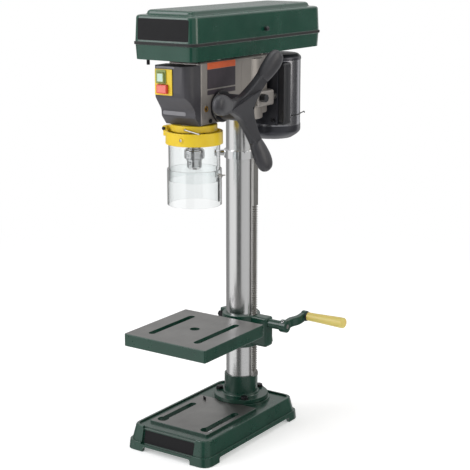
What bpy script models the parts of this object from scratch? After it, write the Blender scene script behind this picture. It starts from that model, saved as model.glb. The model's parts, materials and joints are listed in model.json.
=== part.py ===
"""Benchtop drill press: cast base, chromed column, cranked table, belt-driven head.

Metres, +Z up, +X to the operator's right, the operator stands at -Y.
Every place is measured from the foot of the column, and one empty moves the whole machine so that
its box stands centred on the origin.
"""
import math

import bmesh
import bpy
from mathutils import Matrix, Vector

# Driving dimensions
COLUMN_RADIUS = 0.030
COLUMN_WALL = 0.003
COLUMN_TOP = 0.735
BASE_WIDTH = 0.193
BASE_FRONT = 0.2554
BASE_REAR = 0.0716
BASE_HEIGHT = 0.047
TABLE_WIDTH = 0.188
TABLE_FRONT = 0.2563
TABLE_REAR = 0.0603
TABLE_TOP = 0.230
TABLE_HEIGHT = 0.0245
TABLE_PLATE = 0.008
SPINDLE_Y = -0.1554
SPINDLE_RADIUS = 0.0085
QUILL_RADIUS = 0.020
HEAD_HALF = 0.036
HEAD_FRONT = 0.184
HEAD_REAR = 0.038
HEAD_BOTTOM = 0.626
HEAD_TOP = 0.740
HOUSING_HALF = 0.0697
HOUSING_FRONT = 0.2497
HOUSING_REAR = 0.186
HOUSING_BOTTOM = 0.746
HOUSING_SPLIT = 0.775
HOUSING_TOP = 0.840
MOTOR_Y = 0.1085
MOTOR_RADIUS = 0.058
MOTOR_BOTTOM = 0.567
MOTOR_TOP = 0.734
CRANK_GRIP_END = 0.2065

# Fits: the gap between pieces that touch, the play of the gear teeth, the overrun of every cut
GAP = 0.0003
BACKLASH = 0.00056
OVERRUN = 0.004
ROUND_SIDES = 32
SMALL_SIDES = 12
BELT_TURN_STEPS = 16

# Outlines are drawn this many times larger and scaled back, because filling them needs room
DRAWING_SCALE = 1000

# The stand puts the machine's box over the origin: base to grip across, table to housing along
COLUMN_X = (BASE_WIDTH / 2 - CRANK_GRIP_END) / 2
COLUMN_Y = (TABLE_FRONT - HOUSING_REAR) / 2

X_AXIS = Vector((1, 0, 0))
Y_AXIS = Vector((0, 1, 0))
Z_AXIS = Vector((0, 0, 1))

for old in list(bpy.data.objects):
    bpy.data.objects.remove(old, do_unlink=True)

PARTS = bpy.data.collections.new("drill_press")
CUTTERS = bpy.data.collections.new("cutters")
PIVOTS = bpy.data.collections.new("pivots")
for group in (PARTS, CUTTERS, PIVOTS):
    bpy.context.scene.collection.children.link(group)

STAND = bpy.data.objects.new("stand", None)
STAND.location = (COLUMN_X, COLUMN_Y, 0)
PIVOTS.objects.link(STAND)


def foot_place(pivot):
    """A pivot's place, measured from the foot of the column."""
    if pivot == STAND:
        return Vector()
    return pivot.location + foot_place(pivot.parent)


def hang(ob, pivot, at):
    """Parent an object to a pivot so that it stands at a place measured from the column's foot."""
    ob.parent = pivot
    ob.location = Vector(at) - foot_place(pivot)
    return ob


def make_pivot(name, parent, at):
    """An empty on a joint's axis, which carries everything that moves with the joint."""
    ob = bpy.data.objects.new(name, None)
    PIVOTS.objects.link(ob)
    return hang(ob, parent, at)


def from_bmesh(pivot, name, bm, at, turn=None):
    """Store a bmesh as an object in the parts collection, turned about its own origin."""
    if turn is not None:
        bmesh.ops.transform(bm, matrix=turn.to_4x4(), verts=bm.verts)
    mesh = bpy.data.meshes.new(name)
    bm.to_mesh(mesh)
    bm.free()
    ob = bpy.data.objects.new(name, mesh)
    PARTS.objects.link(ob)
    return hang(ob, pivot, at)


def towards(direction):
    """The turn that lays local Z along a direction."""
    return Vector(direction).to_track_quat("Z", "Y").to_matrix()


def round_edges(ob, width, segments=2, angle=math.radians(35)):
    """Bevel modifier on the edges sharper than an angle."""
    bevel = ob.modifiers.new("round_edges", "BEVEL")
    bevel.width = width
    bevel.segments = segments
    bevel.limit_method = "ANGLE"
    bevel.angle_limit = angle
    return ob


def box(pivot, name, low, high, rounding=0, turn=None, about=None):
    """A block between two corners, optionally turned about a place."""
    low = Vector(low)
    high = Vector(high)
    middle = (low + high) / 2
    about = middle if about is None else Vector(about)
    bm = bmesh.new()
    bmesh.ops.create_cube(bm, size=1)
    bmesh.ops.scale(bm, vec=high - low, verts=bm.verts)
    bmesh.ops.translate(bm, vec=middle - about, verts=bm.verts)
    ob = from_bmesh(pivot, name, bm, about, turn)
    if rounding:
        round_edges(ob, rounding)
    return ob


def tapered_block(pivot, name, low, high, insets, corner, segments=3, shoulder=None):
    """A block with round upright corners whose top is drawn in at each side, front and rear.

    With a shoulder, the walls stay upright up to that height.
    """
    low = Vector(low)
    high = Vector(high)
    side, front, rear = insets
    size = high - low
    bm = bmesh.new()
    bmesh.ops.create_cube(bm, size=1)
    bmesh.ops.scale(bm, vec=size, verts=bm.verts)
    upright = [e for e in bm.edges if abs(e.verts[0].co.z - e.verts[1].co.z) > size.z / 2]
    bmesh.ops.bevel(bm, geom=upright, offset=corner, segments=segments, profile=0.5,
                    affect="EDGES", clamp_overlap=True)
    if shoulder is not None:
        bmesh.ops.bisect_plane(bm, geom=bm.verts[:] + bm.edges[:] + bm.faces[:],
                               plane_co=(0, 0, shoulder - (low.z + high.z) / 2), plane_no=Z_AXIS)
    length_share = (size.y - front - rear) / size.y
    for vert in [v for v in bm.verts if v.co.z > size.z / 2 - GAP]:
        vert.co.x *= (size.x - 2 * side) / size.x
        vert.co.y = vert.co.y * length_share + (front - rear) / 2
    return from_bmesh(pivot, name, bm, (low + high) / 2)


def rod(pivot, name, start, end, radius, sides=ROUND_SIDES, end_radius=None, rounding=0):
    """A round bar, or a cone, from one place to another."""
    start = Vector(start)
    end = Vector(end)
    axis = end - start
    bm = bmesh.new()
    bmesh.ops.create_cone(bm, cap_ends=True, segments=sides, radius1=radius,
                          radius2=radius if end_radius is None else end_radius, depth=axis.length)
    ob = from_bmesh(pivot, name, bm, (start + end) / 2, towards(axis))
    if rounding:
        round_edges(ob, rounding)
    return ob


def turned(pivot, name, profile, at, direction=Z_AXIS, sides=ROUND_SIDES):
    """A lathe-turned piece. The profile lists (radius, height) down the outer side.

    It starts and ends on the axis for a solid piece, and closes on itself for a ring.
    """
    bm = bmesh.new()
    verts = [bm.verts.new((radius, 0, height)) for radius, height in profile]
    for first, second in zip(verts, verts[1:]):
        bm.edges.new((first, second))
    if profile[0][0] > 0:
        bm.edges.new((verts[-1], verts[0]))
    ob = from_bmesh(pivot, name, bm, at)
    ob.rotation_euler = towards(direction).to_euler()
    screw = ob.modifiers.new("turn", "SCREW")
    screw.axis = "Z"
    screw.steps = sides
    screw.render_steps = sides
    screw.use_merge_vertices = True
    screw.merge_threshold = 0.00001
    return ob


def ring(pivot, name, inner, outer, low, high, at, direction=Z_AXIS, sides=ROUND_SIDES):
    """A plain tube or washer with its axis through a place, between two heights along it."""
    profile = ((inner, high), (outer, high), (outer, low), (inner, low))
    return turned(pivot, name, profile, at, direction, sides)


def arc(centre, radius, start, end, steps):
    """Points along an arc in a plane, with the angles in degrees."""
    angles = [math.radians(start + (end - start) * i / steps) for i in range(steps + 1)]
    return [(centre[0] + radius * math.cos(a), centre[1] + radius * math.sin(a)) for a in angles]


def plate(pivot, name, outline, thickness, at, across, up, rounding=0):
    """A flat piece: a filled 2D outline, drawn along two directions and extruded both ways."""
    curve = bpy.data.curves.new(name, "CURVE")
    curve.dimensions = "2D"
    curve.fill_mode = "BOTH"
    curve.extrude = thickness / 2 * DRAWING_SCALE
    spline = curve.splines.new("POLY")
    spline.points.add(len(outline) - 1)
    for point, (u, v) in zip(spline.points, outline):
        point.co = (u * DRAWING_SCALE, v * DRAWING_SCALE, 0, 1)
    spline.use_cyclic_u = True
    drawn = bpy.data.objects.new(name + "_outline", curve)
    PARTS.objects.link(drawn)
    across = Vector(across).normalized()
    up = Vector(up).normalized()
    drawn.matrix_world = Matrix((across, up, across.cross(up))).transposed().to_4x4()
    bpy.context.view_layer.update()
    graph = bpy.context.evaluated_depsgraph_get()
    mesh = bpy.data.meshes.new_from_object(drawn.evaluated_get(graph))
    bm = bmesh.new()
    bm.from_mesh(mesh)
    bmesh.ops.scale(bm, vec=Vector((1, 1, 1)) / DRAWING_SCALE, verts=bm.verts)
    bmesh.ops.remove_doubles(bm, verts=bm.verts, dist=0.00001)
    bmesh.ops.transform(bm, matrix=drawn.matrix_world, verts=bm.verts)
    bmesh.ops.recalc_face_normals(bm, faces=bm.faces)
    bpy.data.objects.remove(drawn)
    bpy.data.meshes.remove(mesh)
    ob = from_bmesh(pivot, name, bm, at)
    if rounding:
        round_edges(ob, rounding)
    return ob


def set_aside(tool):
    """Keep a cutter or a joined lump out of the model and show it as wires."""
    PARTS.objects.unlink(tool)
    CUTTERS.objects.link(tool)
    tool.hide_render = True
    tool.display_type = "WIRE"


def combine(ob, tool, operation):
    """Boolean modifier with the exact solver."""
    modifier = ob.modifiers.new(operation.lower(), "BOOLEAN")
    modifier.operation = operation
    modifier.solver = "EXACT"
    modifier.object = tool
    if tool.name in PARTS.objects:
        set_aside(tool)
    return ob


def cut(ob, *tools):
    """Take each tool away from an object."""
    for tool in tools:
        combine(ob, tool, "DIFFERENCE")
    return ob


def join(ob, *tools):
    """Melt each tool into an object, so that they are one casting."""
    for tool in tools:
        combine(ob, tool, "UNION")
    return ob


def around(centre, radius, degrees, height=0):
    """A place on a circle about an upright axis."""
    angle = math.radians(degrees)
    return Vector((centre[0] + radius * math.cos(angle),
                   centre[1] + radius * math.sin(angle), height))


def slot_outline(start, end, width, eye=0, steps=8):
    """A slot from one place to another with round ends. An eye widens its end to a keyhole."""
    start = Vector(start)
    end = Vector(end)
    heading = math.degrees(math.atan2(end.y - start.y, end.x - start.x))
    half = width / 2
    points = arc(start, half, heading + 90, heading + 270, steps)
    if not eye:
        return points + arc(end, half, heading - 90, heading + 90, steps)
    neck = math.degrees(math.asin(half / eye))
    return points + arc(end, eye, heading - 180 + neck, heading + 180 - neck, steps * 2)


def hex_head(pivot, name, at, direction, across_flats, height):
    """A hexagon head that starts at a place and rises along a direction."""
    at = Vector(at)
    radius = across_flats / 2 / math.cos(math.radians(30))
    return rod(pivot, name, at, at + Vector(direction) * height, radius, sides=6)


def bolt(pivot, name, at, direction, shank, length, across_flats, height):
    """A hexagon bolt whose head seats at a place, with the shank running back from it."""
    at = Vector(at)
    direction = Vector(direction).normalized()
    head = hex_head(pivot, name, at, direction, across_flats, height)
    body = rod(pivot, name + "_shank", at - direction * length, at + direction * (height / 2),
               shank, SMALL_SIDES)
    return join(head, body)


# The stand: base casting, column flange, column, rack ring
BASE_SKIRT = 0.018
BASE_SKIRT_INSET = 0.0015
BASE_TOP_INSET = 0.0095
BASE_FRONT_INSET = 0.0124
BASE_REAR_INSET = 0.0116
BASE_CORNER = 0.022
BASE_WALL = 0.006
BASE_DECK_DROP = 0.003
BASE_RIM = 0.005
PAD_HALF = 0.068
PAD_FRONT = 0.214
PAD_REAR = 0.045
PAD_RISE = 0.0015
FOOT_NOTCH = 0.010
FOOT_NOTCH_HALF = 0.056
FOOT_NOTCH_FRONT = 0.214
FOOT_NOTCH_REAR = 0.033
SLOT_X = 0.051
SLOT_WIDTH = 0.009
SLOT_EYE = 0.008
SLOT_REAR = 0.097
SLOT_FRONT = 0.194
FRONT_PANEL_HALF = 0.0605
FRONT_PANEL_RISE = 0.0145
FRONT_PANEL_DEPTH = 0.004
FRONT_PANEL_PLACE = Vector((0, -0.2477, 0.028))
FRONT_PANEL_SLOPE = Vector((0, 0.2401, 0.9707))
RIM_GAP_HALF = 0.062
RIM_GAP_FRONT = 0.260
RIM_GAP_REAR = 0.236
RIM_GAP_LOW = 0.0425
FLANGE_BOSS = 0.058
FLANGE_RADIUS = 0.0545
FLANGE_DISC = 0.008
FLANGE_FOOT_RADIUS = 0.036
FLANGE_FOOT = 0.005
HOLDER_RADIUS = 0.0335
HOLDER_TOP = 0.098
FLANGE_BOLT_CIRCLE = 0.047
FLANGE_BOLT_ANGLES = (-48, 72, 192)
FLANGE_BOLT_SHANK = 0.004
FLANGE_BOLT_LENGTH = 0.016
BOLT_FLATS = 0.013
BOLT_HEAD = 0.0055
SET_SCREW_RADIUS = 0.003
SET_SCREW_PROUD = 0.002
FLANGE_SCREW_ANGLE = -60
FLANGE_SCREW_HEIGHT = 0.082
RING_LOW = 0.540
RING_HEIGHT = 0.0165
RING_RADIUS = 0.0335
RING_EAR_RADIUS = 0.0065
RING_EAR_REACH = 0.042
RING_EAR_ANGLE = 207

PAD_TOP = BASE_HEIGHT + PAD_RISE
FLANGE_LOW = PAD_TOP + GAP
FLANGE_TOP = FLANGE_LOW + FLANGE_DISC
COLUMN_BORE = COLUMN_RADIUS + GAP
COLUMN_LOW = PAD_TOP + GAP
BASE_HALF = BASE_WIDTH / 2
DECK = BASE_HEIGHT - BASE_DECK_DROP


def make_base():
    base = tapered_block(STAND, "base", (-BASE_HALF, -BASE_FRONT, 0),
                         (BASE_HALF, BASE_REAR, BASE_SKIRT),
                         (BASE_SKIRT_INSET,) * 3, BASE_CORNER)
    upper = tapered_block(
        STAND, "base_upper",
        (-BASE_HALF + BASE_SKIRT_INSET * 2, -BASE_FRONT + BASE_SKIRT_INSET * 2, BASE_SKIRT / 2),
        (BASE_HALF - BASE_SKIRT_INSET * 2, BASE_REAR - BASE_SKIRT_INSET * 2, BASE_HEIGHT),
        (BASE_TOP_INSET - BASE_SKIRT_INSET * 2, BASE_FRONT_INSET - BASE_SKIRT_INSET * 2,
         BASE_REAR_INSET - BASE_SKIRT_INSET * 2), BASE_CORNER)
    join(base, upper)
    rim = BASE_TOP_INSET + BASE_RIM
    cut(base, tapered_block(
        STAND, "base_deck", (-BASE_HALF + rim, -BASE_FRONT + BASE_FRONT_INSET + BASE_RIM, DECK),
        (BASE_HALF - rim, BASE_REAR - BASE_REAR_INSET - BASE_RIM, BASE_HEIGHT + OVERRUN),
        (0, 0, 0), BASE_CORNER))
    cut(base, tapered_block(
        STAND, "base_hollow",
        (-BASE_HALF + BASE_WALL, -BASE_FRONT + BASE_WALL, -OVERRUN),
        (BASE_HALF - BASE_WALL, BASE_REAR - BASE_WALL, DECK - BASE_WALL),
        (BASE_TOP_INSET, BASE_FRONT_INSET, BASE_REAR_INSET), BASE_CORNER))
    join(base, box(STAND, "base_pad", (-PAD_HALF, -PAD_FRONT, DECK - BASE_WALL / 2),
                   (PAD_HALF, -PAD_REAR, PAD_TOP)))
    join(base, rod(STAND, "base_boss", (0, 0, DECK - BASE_WALL / 2), (0, 0, PAD_TOP), FLANGE_BOSS))
    slot_middle = (DECK - BASE_WALL + PAD_TOP) / 2
    slot_depth = BASE_WALL + PAD_TOP - DECK + OVERRUN * 2
    for side in (-1, 1):
        outline = slot_outline((side * SLOT_X, -SLOT_REAR), (side * SLOT_X, -SLOT_FRONT),
                               SLOT_WIDTH, SLOT_EYE)
        cut(base, plate(STAND, f"base_slot_{side}", outline, slot_depth, (0, 0, slot_middle),
                        X_AXIS, Y_AXIS))
    for index, angle in enumerate(FLANGE_BOLT_ANGLES):
        place = around((0, 0), FLANGE_BOLT_CIRCLE, angle)
        cut(base, rod(STAND, f"base_bolt_hole_{index}", place + Z_AXIS * (DECK - BASE_WALL - OVERRUN),
                      place + Z_AXIS * (PAD_TOP + OVERRUN), FLANGE_BOLT_SHANK + GAP, SMALL_SIDES))
    cut(base, box(STAND, "base_front_notch", (-FOOT_NOTCH_HALF, -BASE_FRONT - OVERRUN, -OVERRUN),
                  (FOOT_NOTCH_HALF, BASE_REAR + OVERRUN, FOOT_NOTCH)))
    cut(base, box(STAND, "base_side_notch", (-BASE_HALF - OVERRUN, -FOOT_NOTCH_FRONT, -OVERRUN),
                  (BASE_HALF + OVERRUN, FOOT_NOTCH_REAR, FOOT_NOTCH)))
    panel = [(across * FRONT_PANEL_HALF, up * FRONT_PANEL_RISE)
             for across, up in ((-1, -1), (1, -1), (1, 1), (-1, 1))]
    cut(base, plate(STAND, "base_front_panel", panel, FRONT_PANEL_DEPTH * 2, FRONT_PANEL_PLACE,
                    X_AXIS, FRONT_PANEL_SLOPE))
    cut(base, box(STAND, "base_rim_gap", (-RIM_GAP_HALF, -RIM_GAP_FRONT, RIM_GAP_LOW),
                  (RIM_GAP_HALF, -RIM_GAP_REAR, BASE_HEIGHT + OVERRUN)))


def make_column():
    flange = turned(STAND, "column_flange", (
        (COLUMN_BORE, HOLDER_TOP), (HOLDER_RADIUS, HOLDER_TOP),
        (HOLDER_RADIUS, FLANGE_TOP + FLANGE_FOOT), (FLANGE_FOOT_RADIUS, FLANGE_TOP + FLANGE_FOOT),
        (FLANGE_FOOT_RADIUS, FLANGE_TOP), (FLANGE_RADIUS, FLANGE_TOP),
        (FLANGE_RADIUS, FLANGE_LOW), (COLUMN_BORE, FLANGE_LOW)), (0, 0, 0))
    for index, angle in enumerate(FLANGE_BOLT_ANGLES):
        place = around((0, 0), FLANGE_BOLT_CIRCLE, angle)
        cut(flange, rod(STAND, f"flange_hole_{index}", place + Z_AXIS * (FLANGE_LOW - OVERRUN),
                        place + Z_AXIS * (FLANGE_TOP + OVERRUN), FLANGE_BOLT_SHANK + GAP,
                        SMALL_SIDES))
        bolt(STAND, f"flange_bolt_{index + 1}", place + Z_AXIS * (FLANGE_TOP + GAP), Z_AXIS,
             FLANGE_BOLT_SHANK, FLANGE_BOLT_LENGTH, BOLT_FLATS, BOLT_HEAD)
    radial_screw(flange, "flange_set_screw", (0, 0), COLUMN_RADIUS, HOLDER_RADIUS,
                 FLANGE_SCREW_ANGLE, FLANGE_SCREW_HEIGHT, seized=True)
    ring(STAND, "column", COLUMN_RADIUS - COLUMN_WALL, COLUMN_RADIUS, COLUMN_LOW, COLUMN_TOP,
         (0, 0, 0))


def radial_screw(ob, name, centre, shaft, outside, angle, height, seized=False):
    """A set screw that presses on a round shaft through its carrier, which gets the hole.

    A seized one is melted into its carrier.
    """
    inner = around(centre, shaft + GAP, angle, height)
    outer = around(centre, outside + SET_SCREW_PROUD, angle, height)
    direction = (outer - inner).normalized()
    if seized:
        return join(ob, rod(STAND, name, inner, outer, SET_SCREW_RADIUS, SMALL_SIDES))
    cut(ob, rod(STAND, name + "_hole", inner - direction * SET_SCREW_RADIUS,
                outer + direction * OVERRUN, SET_SCREW_RADIUS + GAP, SMALL_SIDES))
    return rod(STAND, name, inner, outer, SET_SCREW_RADIUS, SMALL_SIDES)


def make_rack_ring():
    middle = RING_LOW + RING_HEIGHT / 2
    body = rod(STAND, "rack_ring", (0, 0, RING_LOW), (0, 0, RING_LOW + RING_HEIGHT), RING_RADIUS)
    join(body, rod(STAND, "rack_ring_ear", (0, 0, middle),
                   around((0, 0), RING_EAR_REACH, RING_EAR_ANGLE, middle), RING_EAR_RADIUS,
                   SMALL_SIDES))
    cut(body, rod(STAND, "rack_ring_bore", (0, 0, RING_LOW - OVERRUN),
                  (0, 0, RING_LOW + RING_HEIGHT + OVERRUN), COLUMN_BORE))
    radial_screw(body, "rack_ring_screw", (0, 0), COLUMN_RADIUS, RING_EAR_REACH, RING_EAR_ANGLE,
                 middle, seized=True)


# The rack and the table lift: worm on the crank shaft, gear, rack
MODULE = 0.0015
RACK_TILT = 6
RACK_BACK = COLUMN_RADIUS + GAP
RACK_TIP = 0.037
RACK_HALF = 0.007
RACK_TEETH_TOP = 0.452
RACK_FOOT_TOP = 0.107
RACK_FOOT_PROUD = 0.0015
GEAR_TEETH = 20
GEAR_HEIGHT = 0.1919
GEAR_ADDENDUM = 0.0011
GEAR_DEDENDUM = 0.0015
GEAR_WIDTH = 0.012
GEAR_PIN_RADIUS = 0.004
RACK_ADDENDUM = 0.0011
RACK_DEDENDUM = 0.0023
TOOTH_FLANK = math.tan(math.radians(20))
WORM_PITCH_RADIUS = 0.00714
WORM_ADDENDUM = 0.0010
WORM_CORE = 0.0052
WORM_THREAD_TOP = 0.0004
WORM_THREAD_ROOT = 0.0009
WORM_Y = -0.003
WORM_START = 0.038
WORM_END = 0.064
WORM_STEPS_PER_TURN = 12
CRANK_SHAFT_RADIUS = 0.0045

PITCH = math.pi * MODULE
TOOTH_HALF = (PITCH - BACKLASH * 2) / 4 - BACKLASH / 8
GEAR_PITCH_RADIUS = GEAR_TEETH * MODULE / 2
WORM_HEIGHT = GEAR_HEIGHT + GEAR_PITCH_RADIUS + WORM_PITCH_RADIUS
WORM_LEAD = PITCH / math.cos(math.radians(RACK_TILT))
GEAR_REACH = RACK_TIP - RACK_ADDENDUM + GEAR_PITCH_RADIUS
RACK_OUT = Vector((math.cos(math.radians(RACK_TILT)), -math.sin(math.radians(RACK_TILT)), 0))
RACK_ALONG = Vector((math.sin(math.radians(RACK_TILT)), math.cos(math.radians(RACK_TILT)), 0))
GEAR_PLACE = RACK_OUT * GEAR_REACH + Z_AXIS * GEAR_HEIGHT
RACK_LOW = HOLDER_TOP + GAP

TABLE_SWING = make_pivot("table_swing_pivot", STAND, (0, 0, 0))
TABLE_LIFT = make_pivot("table_lift_pivot", TABLE_SWING, (0, 0, GEAR_HEIGHT))
GEAR_SPIN = make_pivot("gear_spin_pivot", TABLE_LIFT, GEAR_PLACE)
CRANK_SPIN = make_pivot("crank_spin_pivot", TABLE_LIFT, (0, WORM_Y, WORM_HEIGHT))


def tooth_spaces(pivot, name, tip, root, pitch_line, width, across, gear_height, low, high):
    """A row of cutters shaped like the spaces between rack teeth, one level with the gear."""
    tip_half = PITCH / 2 - TOOTH_HALF + (tip - pitch_line) * TOOTH_FLANK
    root_half = PITCH / 2 - TOOTH_HALF - (pitch_line - root) * TOOTH_FLANK
    first = math.ceil((low + tip_half - gear_height) / PITCH)
    last = math.floor((high - tip_half - gear_height) / PITCH)
    outline = [(root, -root_half), (tip, -tip_half), (tip + OVERRUN, -tip_half),
               (tip + OVERRUN, tip_half), (tip, tip_half), (root, root_half)]
    spaces = plate(pivot, name, outline, width, (0, 0, gear_height + PITCH * first), across,
                   Z_AXIS)
    row = spaces.modifiers.new("row", "ARRAY")
    row.count = last - first + 1
    row.use_relative_offset = False
    row.use_constant_offset = True
    row.constant_offset_displace = (0, 0, PITCH)
    return spaces


def make_rack():
    foot = RACK_TIP + RACK_FOOT_PROUD
    top = RING_LOW - GAP
    outline = [(RACK_BACK, RACK_LOW), (foot, RACK_LOW), (foot, RACK_FOOT_TOP),
               (RACK_TIP, RACK_FOOT_TOP), (RACK_TIP, top), (RACK_BACK, top)]
    rack = plate(TABLE_SWING, "rack", outline, RACK_HALF * 2, (0, 0, 0), RACK_OUT, Z_AXIS)
    pitch_line = RACK_TIP - RACK_ADDENDUM
    cut(rack, tooth_spaces(TABLE_SWING, "rack_spaces", RACK_TIP, pitch_line - RACK_DEDENDUM,
                           pitch_line, RACK_HALF * 2 + OVERRUN, RACK_OUT, GEAR_HEIGHT,
                           RACK_FOOT_TOP, RACK_TEETH_TOP))


def gear_outline(teeth, pitch_radius, addendum, dedendum, half, first_degrees):
    """Straight-flanked teeth around a pitch circle, with a tooth at the first angle."""
    points = []
    tip = pitch_radius + addendum
    root = pitch_radius - dedendum
    tip_half = half * tip / pitch_radius - addendum * TOOTH_FLANK
    root_half = half + dedendum * TOOTH_FLANK / 3
    for index in range(teeth):
        middle = math.radians(first_degrees) + 2 * math.pi * index / teeth
        for radius, offset in ((root, -root_half), (tip, -tip_half), (tip, tip_half),
                               (root, root_half)):
            angle = middle + offset / radius
            points.append((radius * math.cos(angle), radius * math.sin(angle)))
    return points


def make_elevating_gear():
    outline = gear_outline(GEAR_TEETH, GEAR_PITCH_RADIUS, GEAR_ADDENDUM, GEAR_DEDENDUM,
                           TOOTH_HALF, 180)
    gear = plate(GEAR_SPIN, "elevating_gear", outline, GEAR_WIDTH, GEAR_PLACE, RACK_OUT, Z_AXIS)
    reach = RACK_ALONG * (GEAR_WIDTH / 2 + OVERRUN)
    cut(gear, rod(GEAR_SPIN, "elevating_gear_bore", GEAR_PLACE - reach, GEAR_PLACE + reach,
                  GEAR_PIN_RADIUS + GAP, SMALL_SIDES))


def worm_thread():
    """One thread wound around the crank shaft by spinning its section with a lead."""
    core = WORM_CORE - WORM_ADDENDUM
    tip = WORM_PITCH_RADIUS + WORM_ADDENDUM
    bm = bmesh.new()
    section = [bm.verts.new((along, 0, -radius)) for along, radius in (
        (-WORM_THREAD_ROOT, core), (-WORM_THREAD_TOP, tip), (WORM_THREAD_TOP, tip),
        (WORM_THREAD_ROOT, core))]
    bm.faces.new(section)
    turns = int((WORM_END - WORM_START - WORM_LEAD) / WORM_LEAD)
    steps = turns * WORM_STEPS_PER_TURN
    bmesh.ops.spin(bm, geom=bm.verts[:] + bm.edges[:] + bm.faces[:], cent=(0, 0, 0),
                   axis=X_AXIS, dvec=X_AXIS * (WORM_LEAD / WORM_STEPS_PER_TURN),
                   angle=2 * math.pi * turns, steps=steps, use_duplicate=False)
    bmesh.ops.recalc_face_normals(bm, faces=bm.faces)
    mesh_across = GEAR_PLACE.x + (WORM_Y - GEAR_PLACE.y) * math.tan(math.radians(RACK_TILT))
    first = mesh_across + WORM_LEAD / 2
    first -= math.floor((first - WORM_START - WORM_THREAD_ROOT) / WORM_LEAD) * WORM_LEAD
    return from_bmesh(CRANK_SPIN, "worm_thread", bm, (first, WORM_Y, WORM_HEIGHT))


# The crank: hub, S-shaped arm, grip on its pin
CRANK_HUB_START = 0.0973
CRANK_HUB_END = 0.112
CRANK_HUB_RADIUS = 0.0125
CRANK_ARM_END_X = 0.114
CRANK_ARM_WIDTH = 0.018
CRANK_ARM_THICK = 0.009
CRANK_GRIP_Y = 0.057
CRANK_GRIP_HEIGHT = 0.222
CRANK_EYE = 0.0105
CRANK_COLLAR = 0.0095
CRANK_COLLAR_END = 0.1222
CRANK_GRIP_START = 0.1225
CRANK_GRIP_INNER_RADIUS = 0.0085
CRANK_GRIP_OUTER_RADIUS = 0.0105
CRANK_GRIP_WALL = 0.004
CRANK_PIN_RADIUS = 0.0035
CRANK_SCREW_DIRECTION = Vector((0, -0.6, 0.8))

CRANK_PLACE = Vector((0, WORM_Y, WORM_HEIGHT))
CRANK_GRIP_PLACE = Vector((0, CRANK_GRIP_Y, CRANK_GRIP_HEIGHT))
CRANK_ARM_ALONG = (CRANK_GRIP_PLACE - CRANK_PLACE).normalized()
CRANK_ARM_LENGTH = (CRANK_GRIP_PLACE - CRANK_PLACE).length
GRIP_SPIN = make_pivot("grip_spin_pivot", CRANK_SPIN,
                       CRANK_GRIP_PLACE + X_AXIS * CRANK_GRIP_START)


# Shares of the way out and of the arm's length at each point of the crank's bend
CRANK_BEND_SHARES = ((0, 0), (0, 0.22), (0.12, 0.40), (0.93, 0.62), (1, 0.80), (1, 1))
# The rounded end of the crank's grip: shares of its radius, and of its wall from the end
CRANK_GRIP_END_SHARES = ((0.55, 0), (0.9, 0.5), (1, 1.5))


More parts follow.
